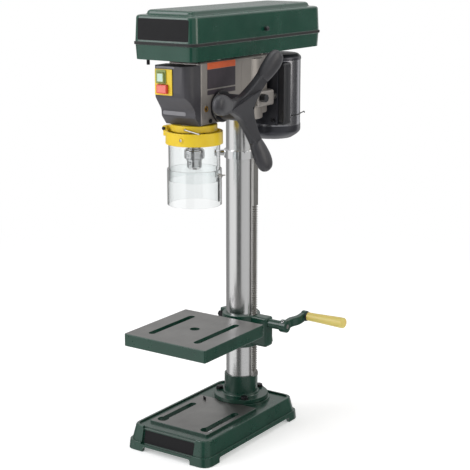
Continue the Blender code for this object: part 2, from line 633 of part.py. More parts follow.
def make_crank():
    shaft = rod(CRANK_SPIN, "crank_shaft", CRANK_PLACE + X_AXIS * WORM_START,
                CRANK_PLACE + X_AXIS * CRANK_HUB_END, CRANK_SHAFT_RADIUS, SMALL_SIDES)
    join(shaft, rod(CRANK_SPIN, "worm_core", CRANK_PLACE + X_AXIS * WORM_START,
                    CRANK_PLACE + X_AXIS * WORM_END, WORM_CORE, SMALL_SIDES), worm_thread())
    half = CRANK_ARM_THICK / 2
    hub_middle = (CRANK_HUB_START + CRANK_HUB_END) / 2
    bend = [(hub_middle + (CRANK_ARM_END_X - hub_middle) * out, along * CRANK_ARM_LENGTH)
            for out, along in CRANK_BEND_SHARES]
    outline = [(x - half, along) for x, along in bend]
    outline += [(x + half, along) for x, along in reversed(bend)]
    arm = plate(CRANK_SPIN, "crank_arm", outline, CRANK_ARM_WIDTH, CRANK_PLACE, X_AXIS,
                CRANK_ARM_ALONG, CRANK_ARM_THICK / 4)
    join(arm, rod(CRANK_SPIN, "crank_hub", CRANK_PLACE + X_AXIS * CRANK_HUB_START,
                  CRANK_PLACE + X_AXIS * CRANK_HUB_END, CRANK_HUB_RADIUS, ROUND_SIDES))
    join(arm, rod(CRANK_SPIN, "crank_eye", CRANK_GRIP_PLACE + X_AXIS * (CRANK_ARM_END_X - half),
                  CRANK_GRIP_PLACE + X_AXIS * (CRANK_COLLAR_END - GAP * 8), CRANK_EYE,
                  ROUND_SIDES))
    cut(arm, rod(CRANK_SPIN, "crank_bore", CRANK_PLACE + X_AXIS * (CRANK_HUB_START - OVERRUN),
                 CRANK_PLACE + X_AXIS * (CRANK_HUB_END + OVERRUN), CRANK_SHAFT_RADIUS + GAP,
                 SMALL_SIDES))
    cut(arm, rod(CRANK_SPIN, "crank_eye_bore",
                 CRANK_GRIP_PLACE + X_AXIS * (CRANK_ARM_END_X - half - OVERRUN),
                 CRANK_GRIP_PLACE + X_AXIS * (CRANK_COLLAR_END + OVERRUN),
                 CRANK_PIN_RADIUS + GAP, SMALL_SIDES))
    screw_start = CRANK_PLACE + X_AXIS * hub_middle + CRANK_SCREW_DIRECTION * (
        CRANK_SHAFT_RADIUS + GAP)
    screw_end = CRANK_PLACE + X_AXIS * hub_middle + CRANK_SCREW_DIRECTION * (
        CRANK_HUB_RADIUS + SET_SCREW_PROUD)
    cut(arm, rod(CRANK_SPIN, "crank_screw_hole",
                 screw_start - CRANK_SCREW_DIRECTION * SET_SCREW_RADIUS,
                 screw_end + CRANK_SCREW_DIRECTION * OVERRUN, SET_SCREW_RADIUS + GAP,
                 SMALL_SIDES))
    rod(CRANK_SPIN, "crank_set_screw", screw_start, screw_end, SET_SCREW_RADIUS, SMALL_SIDES)
    pin_end = CRANK_GRIP_END - CRANK_GRIP_WALL - GAP
    pin = rod(CRANK_SPIN, "grip_pin", CRANK_GRIP_PLACE + X_AXIS * (CRANK_ARM_END_X - half),
              CRANK_GRIP_PLACE + X_AXIS * pin_end, CRANK_PIN_RADIUS, SMALL_SIDES)
    join(pin, rod(CRANK_SPIN, "grip_collar",
                  CRANK_GRIP_PLACE + X_AXIS * (CRANK_COLLAR_END - GAP * 7),
                  CRANK_GRIP_PLACE + X_AXIS * CRANK_COLLAR_END, CRANK_COLLAR, ROUND_SIDES))
    bore = CRANK_PIN_RADIUS + GAP
    turned(GRIP_SPIN, "crank_grip", (
        (0, CRANK_GRIP_END),
        *[(CRANK_GRIP_OUTER_RADIUS * wide, CRANK_GRIP_END - CRANK_GRIP_WALL * back)
          for wide, back in CRANK_GRIP_END_SHARES],
        (CRANK_GRIP_INNER_RADIUS, CRANK_GRIP_START + CRANK_GRIP_WALL * 3),
        (CRANK_GRIP_INNER_RADIUS, CRANK_GRIP_START), (bore, CRANK_GRIP_START),
        (bore, CRANK_GRIP_END - CRANK_GRIP_WALL), (0, CRANK_GRIP_END - CRANK_GRIP_WALL)),
        CRANK_GRIP_PLACE, X_AXIS)


# The table bracket: split collar, gearbox, arm with the tilt disc, clamp
COLLAR_RADIUS = 0.038
COLLAR_LOW = 0.161
COLLAR_TOP = 0.226
GEARBOX_END = 0.070
GEARBOX_FRONT = 0.016
GEARBOX_REAR = 0.010
GEARBOX_LOW = 0.166
GEARBOX_CHAMFER = 0.005
GEAR_ROOM = 0.0172
GEAR_ROOM_WIDTH = 0.0128
WORM_ROOM = 0.0088
WORM_ROOM_START = 0.034
WORM_ROOM_END = 0.068
SHAFT_BOSS_RADIUS = 0.009
SHAFT_BOSS_END = 0.097
PIN_REACH_FRONT = 0.0103
PIN_REACH_REAR = 0.012
CLAMP_ANGLE = 165
CLAMP_SLIT = 0.0025
CLAMP_EAR_REACH = 0.052
CLAMP_EAR_HALF = 0.012
CLAMP_EAR_LOW = 0.201
CLAMP_RADIUS = 0.004
CLAMP_AT = 0.045
CLAMP_BAR_AT = 0.038
CLAMP_BAR_HALF = 0.026
CLAMP_BAR_RADIUS = 0.003
CLAMP_NECK_RADIUS = 0.006
TILT_HEIGHT = 0.190
TILT_FACE = 0.052
TILT_DISC_RADIUS = 0.024
TILT_DISC_THICK = 0.008
ARM_HALF = 0.020
ARM_LOW = 0.168
ARM_TOP = 0.212
TILT_BOLT_RADIUS = 0.006
TILT_BOLT_END = 0.038
TILT_BOLT_FLATS = 0.019
TILT_BOLT_HEAD = 0.0075
TABLE_BOSS_RADIUS = 0.026
TABLE_BOSS_FRONT = 0.070

CLAMP_OUT = Vector((math.cos(math.radians(CLAMP_ANGLE)), math.sin(math.radians(CLAMP_ANGLE)), 0))
CLAMP_ALONG = Vector((CLAMP_OUT.y, -CLAMP_OUT.x, 0))
CLAMP_HEIGHT = (CLAMP_EAR_LOW + COLLAR_TOP) / 2
CLAMP_PLACE = CLAMP_OUT * CLAMP_AT + Z_AXIS * CLAMP_HEIGHT
CLAMP_TURN = make_pivot("clamp_turn_pivot", TABLE_LIFT, CLAMP_PLACE)
TABLE_TILT = make_pivot("table_tilt_pivot", TABLE_LIFT, (0, -TILT_FACE, TILT_HEIGHT))


def local_block(pivot, name, out, low, high):
    """A block between two corners given as (outward, across, height) from the column's foot."""
    turn = Matrix((out, Z_AXIS.cross(out), Z_AXIS)).transposed()
    return box(pivot, name, low, high, turn=turn, about=(0, 0, 0))


def make_bracket():
    body = rod(TABLE_LIFT, "table_bracket", (0, 0, COLLAR_LOW), (0, 0, COLLAR_TOP), COLLAR_RADIUS)
    gearbox = box(TABLE_LIFT, "gearbox", (COLUMN_RADIUS / 2, -GEARBOX_FRONT, GEARBOX_LOW),
                  (GEARBOX_END, GEARBOX_REAR, COLLAR_TOP), GEARBOX_CHAMFER)
    gearbox.modifiers["round_edges"].segments = 1
    join(body, gearbox)
    shaft_end = CRANK_PLACE + X_AXIS * SHAFT_BOSS_END
    join(body, rod(TABLE_LIFT, "shaft_boss", CRANK_PLACE + X_AXIS * WORM_ROOM_END, shaft_end,
                   SHAFT_BOSS_RADIUS, ROUND_SIDES))
    join(body, box(TABLE_LIFT, "bracket_arm", (-ARM_HALF, -TILT_FACE + TILT_DISC_THICK / 2, ARM_LOW),
                   (ARM_HALF, 0, ARM_TOP), ARM_HALF / 4))
    join(body, rod(TABLE_LIFT, "tilt_disc", (0, -TILT_FACE, TILT_HEIGHT),
                   (0, -TILT_FACE + TILT_DISC_THICK, TILT_HEIGHT), TILT_DISC_RADIUS))
    join(body, local_block(TABLE_LIFT, "clamp_ears", CLAMP_OUT,
                           (COLUMN_RADIUS, -CLAMP_EAR_HALF, CLAMP_EAR_LOW),
                           (CLAMP_EAR_REACH, CLAMP_EAR_HALF, COLLAR_TOP)))
    cut(body, rod(TABLE_LIFT, "collar_bore", (0, 0, COLLAR_LOW - OVERRUN),
                  (0, 0, COLLAR_TOP + OVERRUN), COLUMN_BORE))
    cut(body, local_block(TABLE_LIFT, "rack_groove", RACK_OUT,
                          (COLUMN_RADIUS / 2, -RACK_HALF - GAP, COLLAR_LOW - OVERRUN),
                          (RACK_TIP + GAP, RACK_HALF + GAP, COLLAR_TOP + OVERRUN)))
    cut(body, local_block(TABLE_LIFT, "clamp_slit", CLAMP_OUT,
                          (COLUMN_RADIUS / 2, -CLAMP_SLIT / 2, COLLAR_LOW - OVERRUN),
                          (CLAMP_EAR_REACH + OVERRUN, CLAMP_SLIT / 2, COLLAR_TOP + OVERRUN)))
    room = RACK_ALONG * (GEAR_ROOM_WIDTH / 2)
    cut(body, rod(TABLE_LIFT, "gear_room", GEAR_PLACE - room, GEAR_PLACE + room, GEAR_ROOM))
    cut(body, rod(TABLE_LIFT, "worm_room", CRANK_PLACE + X_AXIS * WORM_ROOM_START,
                  CRANK_PLACE + X_AXIS * WORM_ROOM_END, WORM_ROOM, SMALL_SIDES))
    cut(body, rod(TABLE_LIFT, "shaft_hole", CRANK_PLACE + X_AXIS * (WORM_ROOM_END - OVERRUN),
                  shaft_end + X_AXIS * OVERRUN, CRANK_SHAFT_RADIUS + GAP, SMALL_SIDES))
    pin_front = GEAR_PLACE - RACK_ALONG * PIN_REACH_FRONT
    pin_rear = GEAR_PLACE + RACK_ALONG * PIN_REACH_REAR
    cut(body, rod(TABLE_LIFT, "pin_hole", pin_front - RACK_ALONG * OVERRUN,
                  pin_rear + RACK_ALONG * GAP, GEAR_PIN_RADIUS + GAP, SMALL_SIDES))
    rod(TABLE_LIFT, "gear_pin", pin_front, pin_rear, GEAR_PIN_RADIUS, SMALL_SIDES)
    clamp_reach = CLAMP_ALONG * (CLAMP_EAR_HALF + OVERRUN)
    cut(body, rod(TABLE_LIFT, "clamp_hole", CLAMP_PLACE - clamp_reach, CLAMP_PLACE + clamp_reach,
                  CLAMP_RADIUS + GAP, SMALL_SIDES))
    cut(body, rod(TABLE_LIFT, "tilt_hole", (0, -TILT_FACE - OVERRUN, TILT_HEIGHT),
                  (0, -TILT_BOLT_END + GAP, TILT_HEIGHT), TILT_BOLT_RADIUS + GAP, SMALL_SIDES))
    head_at = Vector((0, -TABLE_BOSS_FRONT - GAP, TILT_HEIGHT))
    bolt(TABLE_LIFT, "tilt_bolt", head_at, -Y_AXIS, TILT_BOLT_RADIUS,
         TABLE_BOSS_FRONT + GAP - TILT_BOLT_END, TILT_BOLT_FLATS, TILT_BOLT_HEAD)


def make_clamp():
    seat = CLAMP_EAR_HALF + GAP
    lever = rod(CLAMP_TURN, "clamp_lever",
                CLAMP_PLACE - CLAMP_ALONG * (seat + CLAMP_NECK_RADIUS / 2),
                CLAMP_PLACE + CLAMP_ALONG * CLAMP_BAR_AT, CLAMP_RADIUS, SMALL_SIDES)
    join(lever, hex_head(CLAMP_TURN, "clamp_head", CLAMP_PLACE - CLAMP_ALONG * seat, -CLAMP_ALONG,
                         BOLT_FLATS, BOLT_HEAD))
    join(lever, rod(CLAMP_TURN, "clamp_neck", CLAMP_PLACE + CLAMP_ALONG * seat,
                    CLAMP_PLACE + CLAMP_ALONG * (CLAMP_BAR_AT + CLAMP_NECK_RADIUS),
                    CLAMP_NECK_RADIUS, SMALL_SIDES))
    centre = CLAMP_PLACE + CLAMP_ALONG * CLAMP_BAR_AT
    join(lever, rod(CLAMP_TURN, "clamp_bar", centre - Z_AXIS * CLAMP_BAR_HALF,
                    centre + Z_AXIS * CLAMP_BAR_HALF, CLAMP_BAR_RADIUS, SMALL_SIDES))


# The table
TABLE_CORNER = 0.014
TABLE_WALL = 0.007
TABLE_SLOT_X = 0.0525
TABLE_SLOT_WIDTH = 0.010
TABLE_SLOT_REAR = 0.097
TABLE_SLOT_FRONT = 0.223
TABLE_HOLE = 0.0095
TABLE_HOLE_Y = -0.1583


def make_table():
    half = TABLE_WIDTH / 2
    low = TABLE_TOP - TABLE_HEIGHT
    table = tapered_block(TABLE_TILT, "table", (-half, -TABLE_FRONT, low),
                          (half, -TABLE_REAR, TABLE_TOP), (0, 0, 0), TABLE_CORNER)
    join(table, rod(TABLE_TILT, "table_boss", (0, -TABLE_BOSS_FRONT, TILT_HEIGHT),
                    (0, -TILT_FACE - GAP, TILT_HEIGHT), TABLE_BOSS_RADIUS))
    cut(table, tapered_block(
        TABLE_TILT, "table_hollow", (-half + TABLE_WALL, -TABLE_FRONT + TABLE_WALL, low - OVERRUN),
        (half - TABLE_WALL, -TABLE_BOSS_FRONT, TABLE_TOP - TABLE_PLATE), (0, 0, 0),
        TABLE_CORNER / 2))
    for side in (-1, 1):
        outline = slot_outline((side * TABLE_SLOT_X, -TABLE_SLOT_REAR),
                               (side * TABLE_SLOT_X, -TABLE_SLOT_FRONT), TABLE_SLOT_WIDTH)
        cut(table, plate(TABLE_TILT, f"table_slot_{side}", outline, TABLE_PLATE * 2,
                         (0, 0, TABLE_TOP - TABLE_PLATE / 2), X_AXIS, Y_AXIS))
    cut(table, rod(TABLE_TILT, "table_hole", (0, TABLE_HOLE_Y, TABLE_TOP - TABLE_PLATE - OVERRUN),
                   (0, TABLE_HOLE_Y, TABLE_TOP + OVERRUN), TABLE_HOLE, SMALL_SIDES * 2))
    cut(table, rod(TABLE_TILT, "table_boss_hole",
                   (0, -TABLE_BOSS_FRONT - OVERRUN, TILT_HEIGHT),
                   (0, -TILT_FACE + OVERRUN, TILT_HEIGHT), TILT_BOLT_RADIUS + GAP, SMALL_SIDES))


# The head casting and what is fixed to it
HEAD_ROUNDING = 0.004
QUILL_BOSS_RADIUS = 0.030
QUILL_BOSS_LOW = 0.610
COLUMN_BOSS_RADIUS = 0.041
COLUMN_BOSS_LOW = 0.618
CAVITY_HALF = 0.030
CAVITY_FRONT = 0.108
CAVITY_REAR = 0.056
CAVITY_LOW = 0.640
HEAD_PAD_RADIUS = 0.007
HEAD_PAD_X = 0.027
HEAD_PAD_YS = (-0.120, 0.022)
FEED_Y = -0.125
FEED_HEIGHT = 0.656
FEED_RADIUS = 0.012
FEED_RELIEF = 0.008
FEED_RELIEF_HALF = 0.0125
FEED_SHAFT_LEFT = 0.044
FEED_SHAFT_RIGHT = 0.0797
FEED_SHAFT_NOSE = 0.010
PINION_TEETH = 14
PINION_ADDENDUM = 0.0015
PINION_HALF = 0.007
SLIDE_X = 0.0445
SLIDE_HEIGHT = 0.658
SLIDE_RADIUS = 0.007
SLIDE_BLOCK_HALF = 0.054
SLIDE_BLOCK_FRONT = 0.024
SLIDE_BLOCK_TALL = 0.015
KNOB_Y = -0.012
KNOB_HEIGHT = 0.6605
KNOB_RADIUS = 0.008
KNOB_LENGTH = 0.012
KNOB_SHANK = 0.003
SPRING_CAP_RADIUS = 0.022
SPRING_CAP_WALL = 0.0025
SPRING_CAP_DEPTH = 0.0137
HEAD_SCREW_ANGLE = 28
HEAD_SCREW_HEIGHT = 0.700
GUIDE_HEIGHT = 0.632
GUIDE_RADIUS = 0.0022
GUIDE_HEAD_RADIUS = 0.004
GUIDE_HEAD = 0.002

FEED_PLACE = Vector((0, FEED_Y, FEED_HEIGHT))
SPINDLE_PLACE = Vector((0, SPINDLE_Y, 0))
PINION_PITCH_RADIUS = PINION_TEETH * MODULE / 2
QUILL_BORE = QUILL_RADIUS + GAP
FEED_TURN = make_pivot("feed_turn_pivot", STAND, FEED_PLACE)
DEPTH_STOP_TURN = make_pivot("depth_stop_pivot", STAND, FEED_PLACE)
KNOB_PLACE = Vector((SLIDE_BLOCK_HALF, KNOB_Y, KNOB_HEIGHT))
KNOB_TURN = make_pivot("tension_knob_pivot", STAND, KNOB_PLACE)


def make_head():
    head = box(STAND, "head_casting", (-HEAD_HALF, -HEAD_FRONT, HEAD_BOTTOM),
               (HEAD_HALF, HEAD_REAR, HEAD_TOP), HEAD_ROUNDING)
    join(head, rod(STAND, "quill_boss", SPINDLE_PLACE + Z_AXIS * QUILL_BOSS_LOW,
                   SPINDLE_PLACE + Z_AXIS * (HEAD_BOTTOM + HEAD_ROUNDING * 2), QUILL_BOSS_RADIUS))
    join(head, rod(STAND, "column_boss", (0, 0, COLUMN_BOSS_LOW),
                   (0, 0, HEAD_TOP - HEAD_ROUNDING * 1.5), COLUMN_BOSS_RADIUS))
    join(head, box(STAND, "slide_blocks",
                   (-SLIDE_BLOCK_HALF, -SLIDE_BLOCK_FRONT, SLIDE_HEIGHT - SLIDE_BLOCK_TALL),
                   (SLIDE_BLOCK_HALF, HEAD_REAR - HEAD_ROUNDING, SLIDE_HEIGHT + SLIDE_BLOCK_TALL),
                   HEAD_ROUNDING))
    for y in HEAD_PAD_YS:
        for side in (-1, 1):
            place = Vector((side * HEAD_PAD_X, y, 0))
            join(head, rod(STAND, f"head_pad_{side}_{y}", place + Z_AXIS * (HEAD_TOP - OVERRUN),
                           place + Z_AXIS * (HOUSING_BOTTOM - GAP), HEAD_PAD_RADIUS, SMALL_SIDES))
    cut(head, rod(STAND, "quill_bore", SPINDLE_PLACE + Z_AXIS * (QUILL_BOSS_LOW - OVERRUN),
                  SPINDLE_PLACE + Z_AXIS * (HEAD_TOP + OVERRUN), QUILL_BORE))
    cut(head, rod(STAND, "head_column_bore", (0, 0, COLUMN_BOSS_LOW - OVERRUN),
                  (0, 0, COLUMN_TOP + GAP), COLUMN_BORE))
    cut(head, box(STAND, "head_cavity", (-CAVITY_HALF, -CAVITY_FRONT, CAVITY_LOW),
                  (CAVITY_HALF, -CAVITY_REAR, HEAD_TOP + OVERRUN)))
    cut(head, rod(STAND, "idler_post_hole",
                  IDLER_PIVOT + Z_AXIS * (HEAD_TOP - IDLER_POST_DEPTH - GAP),
                  IDLER_PIVOT + Z_AXIS * (HEAD_TOP + OVERRUN), IDLER_POST_RADIUS + GAP,
                  SMALL_SIDES))
    reach = X_AXIS * (HEAD_HALF + OVERRUN)
    cut(head, rod(STAND, "feed_bore", FEED_PLACE - reach, FEED_PLACE + reach, FEED_RADIUS + GAP))
    for side in (-1, 1):
        start = Vector((side * SLIDE_X, -SLIDE_BLOCK_FRONT - OVERRUN, SLIDE_HEIGHT))
        end = Vector((side * SLIDE_X, HEAD_REAR + OVERRUN, SLIDE_HEIGHT))
        cut(head, rod(STAND, f"slide_bore_{side}", start, end, SLIDE_RADIUS + GAP, SMALL_SIDES))
    cut(head, rod(STAND, "knob_hole", KNOB_PLACE - X_AXIS * (SLIDE_BLOCK_HALF - SLIDE_X),
                  KNOB_PLACE + X_AXIS * OVERRUN, KNOB_SHANK + GAP, SMALL_SIDES))
    radial_screw(head, "head_set_screw", (0, 0), COLUMN_RADIUS, COLUMN_BOSS_RADIUS,
                 HEAD_SCREW_ANGLE, HEAD_SCREW_HEIGHT)
    guide_inner = Vector((QUILL_RADIUS - QUILL_KEY_DEPTH + GAP, SPINDLE_Y, GUIDE_HEIGHT))
    guide_outer = Vector((HEAD_HALF + GAP, SPINDLE_Y, GUIDE_HEIGHT))
    cut(head, rod(STAND, "guide_hole", guide_inner, guide_outer + X_AXIS * OVERRUN,
                  GUIDE_RADIUS + GAP, SMALL_SIDES))
    guide = rod(STAND, "quill_guide_screw", guide_inner, guide_outer + X_AXIS * GAP, GUIDE_RADIUS,
                SMALL_SIDES)
    join(guide, rod(STAND, "guide_head", guide_outer, guide_outer + X_AXIS * GUIDE_HEAD,
                    GUIDE_HEAD_RADIUS, SMALL_SIDES))
    return head


def make_spring_cap():
    seat = HEAD_HALF + GAP
    end = seat + SPRING_CAP_DEPTH
    inner = SPRING_CAP_RADIUS - SPRING_CAP_WALL
    turned(STAND, "return_spring_cap", (
        (0, end), (inner, end), (SPRING_CAP_RADIUS, end - SPRING_CAP_WALL),
        (SPRING_CAP_RADIUS, seat), (inner, seat), (inner, end - SPRING_CAP_WALL),
        (0, end - SPRING_CAP_WALL)), FEED_PLACE, -X_AXIS)


def make_tension_knob():
    face = KNOB_PLACE + X_AXIS * GAP
    knob = rod(KNOB_TURN, "tension_knob", face, face + X_AXIS * KNOB_LENGTH, KNOB_RADIUS,
               SMALL_SIDES, rounding=KNOB_RADIUS / 6)
    join(knob, rod(KNOB_TURN, "tension_knob_shank",
                   KNOB_PLACE - X_AXIS * (SLIDE_BLOCK_HALF - SLIDE_X - SLIDE_RADIUS - GAP),
                   face + X_AXIS * (KNOB_LENGTH / 2), KNOB_SHANK, SMALL_SIDES))


# The feed: pinion shaft, star handle, depth stop disc
STAR_HUB_RADIUS = 0.024
STAR_HUB_START = 0.0462
STAR_HUB_FACE = 0.100
STAR_NOSE_RADIUS = 0.013
STAR_ARM_ANGLES = (50, 170, -70)
STAR_ARM_MIDDLE = 0.083
STAR_ARM_THICK = 0.018
STAR_TIP = 0.126
STAR_NOSE_CHAMFER = 0.0026
STAR_LEAN = 0.032
STAR_ARM_RADII = (0.026, 0.036, 0.050, 0.066, 0.082)
STAR_ARM_HALVES = (0.0175, 0.0145, 0.0120, 0.0108, 0.0122)
STAR_GRIP_START = 0.071
STAR_GRIP_HALF = 0.022
STAR_GRIP_THICK = 0.024
STAR_GRIP_ROUNDING = 0.009
STOP_RADIUS = 0.029
STOP_START = 0.0365
STOP_END = 0.0455


def make_feed():
    shaft = turned(FEED_TURN, "feed_shaft", (
        (0, FEED_SHAFT_RIGHT), (FEED_SHAFT_NOSE, FEED_SHAFT_RIGHT),
        (FEED_SHAFT_NOSE, STAR_HUB_START), (FEED_RADIUS, STAR_HUB_START - GAP),
        (FEED_RADIUS, FEED_RELIEF_HALF), (FEED_RELIEF, FEED_RELIEF_HALF),
        (FEED_RELIEF, -FEED_RELIEF_HALF), (FEED_RADIUS, -FEED_RELIEF_HALF),
        (FEED_RADIUS, -HEAD_HALF), (FEED_RELIEF, -HEAD_HALF),
        (FEED_RELIEF, -FEED_SHAFT_LEFT), (0, -FEED_SHAFT_LEFT)), FEED_PLACE, X_AXIS)
    outline = gear_outline(PINION_TEETH, PINION_PITCH_RADIUS, PINION_ADDENDUM,
                           PINION_ADDENDUM, TOOTH_HALF, 180)
    join(shaft, plate(FEED_TURN, "pinion", outline, PINION_HALF * 2, FEED_PLACE, Y_AXIS, Z_AXIS))


def star_outline():
    """Three arms with concave flanks, as (y, z) around the feed shaft."""
    points = []
    for angle in sorted(STAR_ARM_ANGLES):
        near = []
        far = []
        for radius, half in zip(STAR_ARM_RADII, STAR_ARM_HALVES):
            swing = math.degrees(math.asin(half / radius))
            near += arc((0, 0), radius, angle - swing, angle - swing, 1)[:1]
            far += arc((0, 0), radius, angle + swing, angle + swing, 1)[:1]
        points += near + far[::-1]
    return points


def make_star_handle():
    star = plate(FEED_TURN, "star_handle", star_outline(), STAR_ARM_THICK,
                 FEED_PLACE + X_AXIS * STAR_ARM_MIDDLE, Y_AXIS, Z_AXIS)
    for vert in star.data.vertices:
        vert.co.x += STAR_LEAN * math.hypot(vert.co.y, vert.co.z) / STAR_TIP
    hub = turned(FEED_TURN, "star_hub", (
        (0, STAR_HUB_FACE), (STAR_NOSE_RADIUS - STAR_NOSE_CHAMFER, STAR_HUB_FACE),
        (STAR_NOSE_RADIUS, STAR_HUB_FACE - STAR_NOSE_CHAMFER),
        (STAR_HUB_RADIUS, STAR_ARM_MIDDLE), (STAR_HUB_RADIUS, STAR_HUB_START),
        (0, STAR_HUB_START)), FEED_PLACE, X_AXIS)
    join(star, hub)
    for index, angle in enumerate(STAR_ARM_ANGLES):
        turn = math.radians(angle)
        radial = Vector((STAR_LEAN / STAR_TIP, math.cos(turn), math.sin(turn))).normalized()
        across = Vector((0, -math.sin(turn), math.cos(turn)))
        normal = radial.cross(across)
        centre = FEED_PLACE + X_AXIS * STAR_ARM_MIDDLE
        frame = Matrix((radial, across, normal)).transposed()
        grip = box(FEED_TURN, f"star_grip_{index}",
                   centre + Vector((STAR_GRIP_START, -STAR_GRIP_HALF, -STAR_GRIP_THICK / 2)),
                   centre + Vector((STAR_TIP, STAR_GRIP_HALF, STAR_GRIP_THICK / 2)),
                   STAR_GRIP_ROUNDING, frame, centre)
        join(star, grip)
    cut(star, rod(FEED_TURN, "star_bore", FEED_PLACE + X_AXIS * (STAR_HUB_START - OVERRUN),
                  FEED_PLACE + X_AXIS * (FEED_SHAFT_RIGHT + GAP), FEED_SHAFT_NOSE + GAP))
    ring(DEPTH_STOP_TURN, "depth_stop", FEED_RADIUS + GAP, STOP_RADIUS, STOP_START, STOP_END,
         FEED_PLACE, X_AXIS)


# The quill, the spindle and the chuck
QUILL_LOW = 0.584
QUILL_TOP = 0.728
QUILL_INNER = 0.0095
QUILL_KEY_DEPTH = 0.0025
QUILL_KEY_HALF = 0.0026
QUILL_KEY_LOW = 0.622
QUILL_KEY_TOP = 0.704
QUILL_ROOT_DEPTH = 0.0027
QUILL_TEETH_LOW = 0.645
QUILL_TEETH_TOP = 0.724
BEARING_RADIUS = 0.016
BEARING_HEIGHT = 0.012
SPINDLE_TOP = 0.815
SPINDLE_NOSE = 0.007
SPINDLE_NOSE_LOW = 0.564
CHUCK_TOP = 0.5778
SPINDLE_FLANGE = 0.012
SLEEVE_RADIUS = 0.019
SLEEVE_INNER = 0.0136
SLEEVE_LOW = 0.560
SLEEVE_HEIGHT = 0.0155
CHUCK_LIP = 0.016
CHUCK_BODY_RADIUS = 0.0133
CHUCK_SHOULDER_RADIUS = 0.015
CHUCK_SHOULDER = 0.003
CHUCK_NOSE_RADIUS = 0.0135
CHUCK_NOSE_LOW = 0.540
CHUCK_NOSE_TIP_RADIUS = 0.010
CHUCK_NOSE_TAPER = 0.004
CHUCK_MOUTH = 0.005
CHUCK_MOUTH_TOP = 0.561
JAW_RADIUS = 0.0024
JAW_TIP_AT = 0.0046
JAW_TIP_HEIGHT = 0.5395
JAW_LENGTH = 0.024
JAW_SLANT = math.radians(12)
KEY_HOLE_RADIUS = 0.003
KEY_HOLE_DEPTH = 0.0035

QUILL_FEED = make_pivot("quill_feed_pivot", STAND, SPINDLE_PLACE + Z_AXIS * QUILL_LOW)
SPINDLE_SPIN = make_pivot("spindle_spin_pivot", QUILL_FEED, SPINDLE_PLACE + Z_AXIS * QUILL_LOW)
SLEEVE_TURN = make_pivot("sleeve_turn_pivot", SPINDLE_SPIN, SPINDLE_PLACE + Z_AXIS * SLEEVE_LOW)
BEARING_BORE = SPINDLE_RADIUS + GAP


def make_quill():
    bearing_seat = BEARING_RADIUS + GAP
    quill = turned(QUILL_FEED, "quill", (
        (bearing_seat, QUILL_TOP), (QUILL_RADIUS, QUILL_TOP), (QUILL_RADIUS, QUILL_LOW),
        (bearing_seat, QUILL_LOW), (bearing_seat, QUILL_LOW + BEARING_HEIGHT + GAP),
        (QUILL_INNER, QUILL_LOW + BEARING_HEIGHT + GAP),
        (QUILL_INNER, QUILL_TOP - BEARING_HEIGHT - GAP),
        (bearing_seat, QUILL_TOP - BEARING_HEIGHT - GAP)), SPINDLE_PLACE)
    tip = SPINDLE_Y + QUILL_RADIUS + GAP
    cut(quill, tooth_spaces(QUILL_FEED, "quill_spaces", tip, tip - QUILL_ROOT_DEPTH - GAP,
                            FEED_Y - PINION_PITCH_RADIUS, QUILL_RADIUS * 2, Y_AXIS, FEED_HEIGHT,
                            QUILL_TEETH_LOW, QUILL_TEETH_TOP))
    cut(quill, box(QUILL_FEED, "quill_key",
                   (QUILL_RADIUS - QUILL_KEY_DEPTH, SPINDLE_Y - QUILL_KEY_HALF, QUILL_KEY_LOW),
                   (QUILL_RADIUS + OVERRUN, SPINDLE_Y + QUILL_KEY_HALF, QUILL_KEY_TOP)))
    for name, low in (("quill_bearing_lower", QUILL_LOW),
                      ("quill_bearing_upper", QUILL_TOP - BEARING_HEIGHT)):
        ring(QUILL_FEED, name, BEARING_BORE, BEARING_RADIUS, low, low + BEARING_HEIGHT,
             SPINDLE_PLACE, sides=SMALL_SIDES)


def make_spindle():
    turned(SPINDLE_SPIN, "spindle", (
        (0, SPINDLE_TOP), (SPINDLE_RADIUS, SPINDLE_TOP), (SPINDLE_RADIUS, QUILL_LOW - GAP),
        (SPINDLE_FLANGE, QUILL_LOW - GAP), (SPINDLE_FLANGE, CHUCK_TOP + GAP),
        (SPINDLE_NOSE, CHUCK_TOP + GAP), (SPINDLE_NOSE, SPINDLE_NOSE_LOW),
        (0, SPINDLE_NOSE_LOW)), SPINDLE_PLACE, sides=SMALL_SIDES * 2)


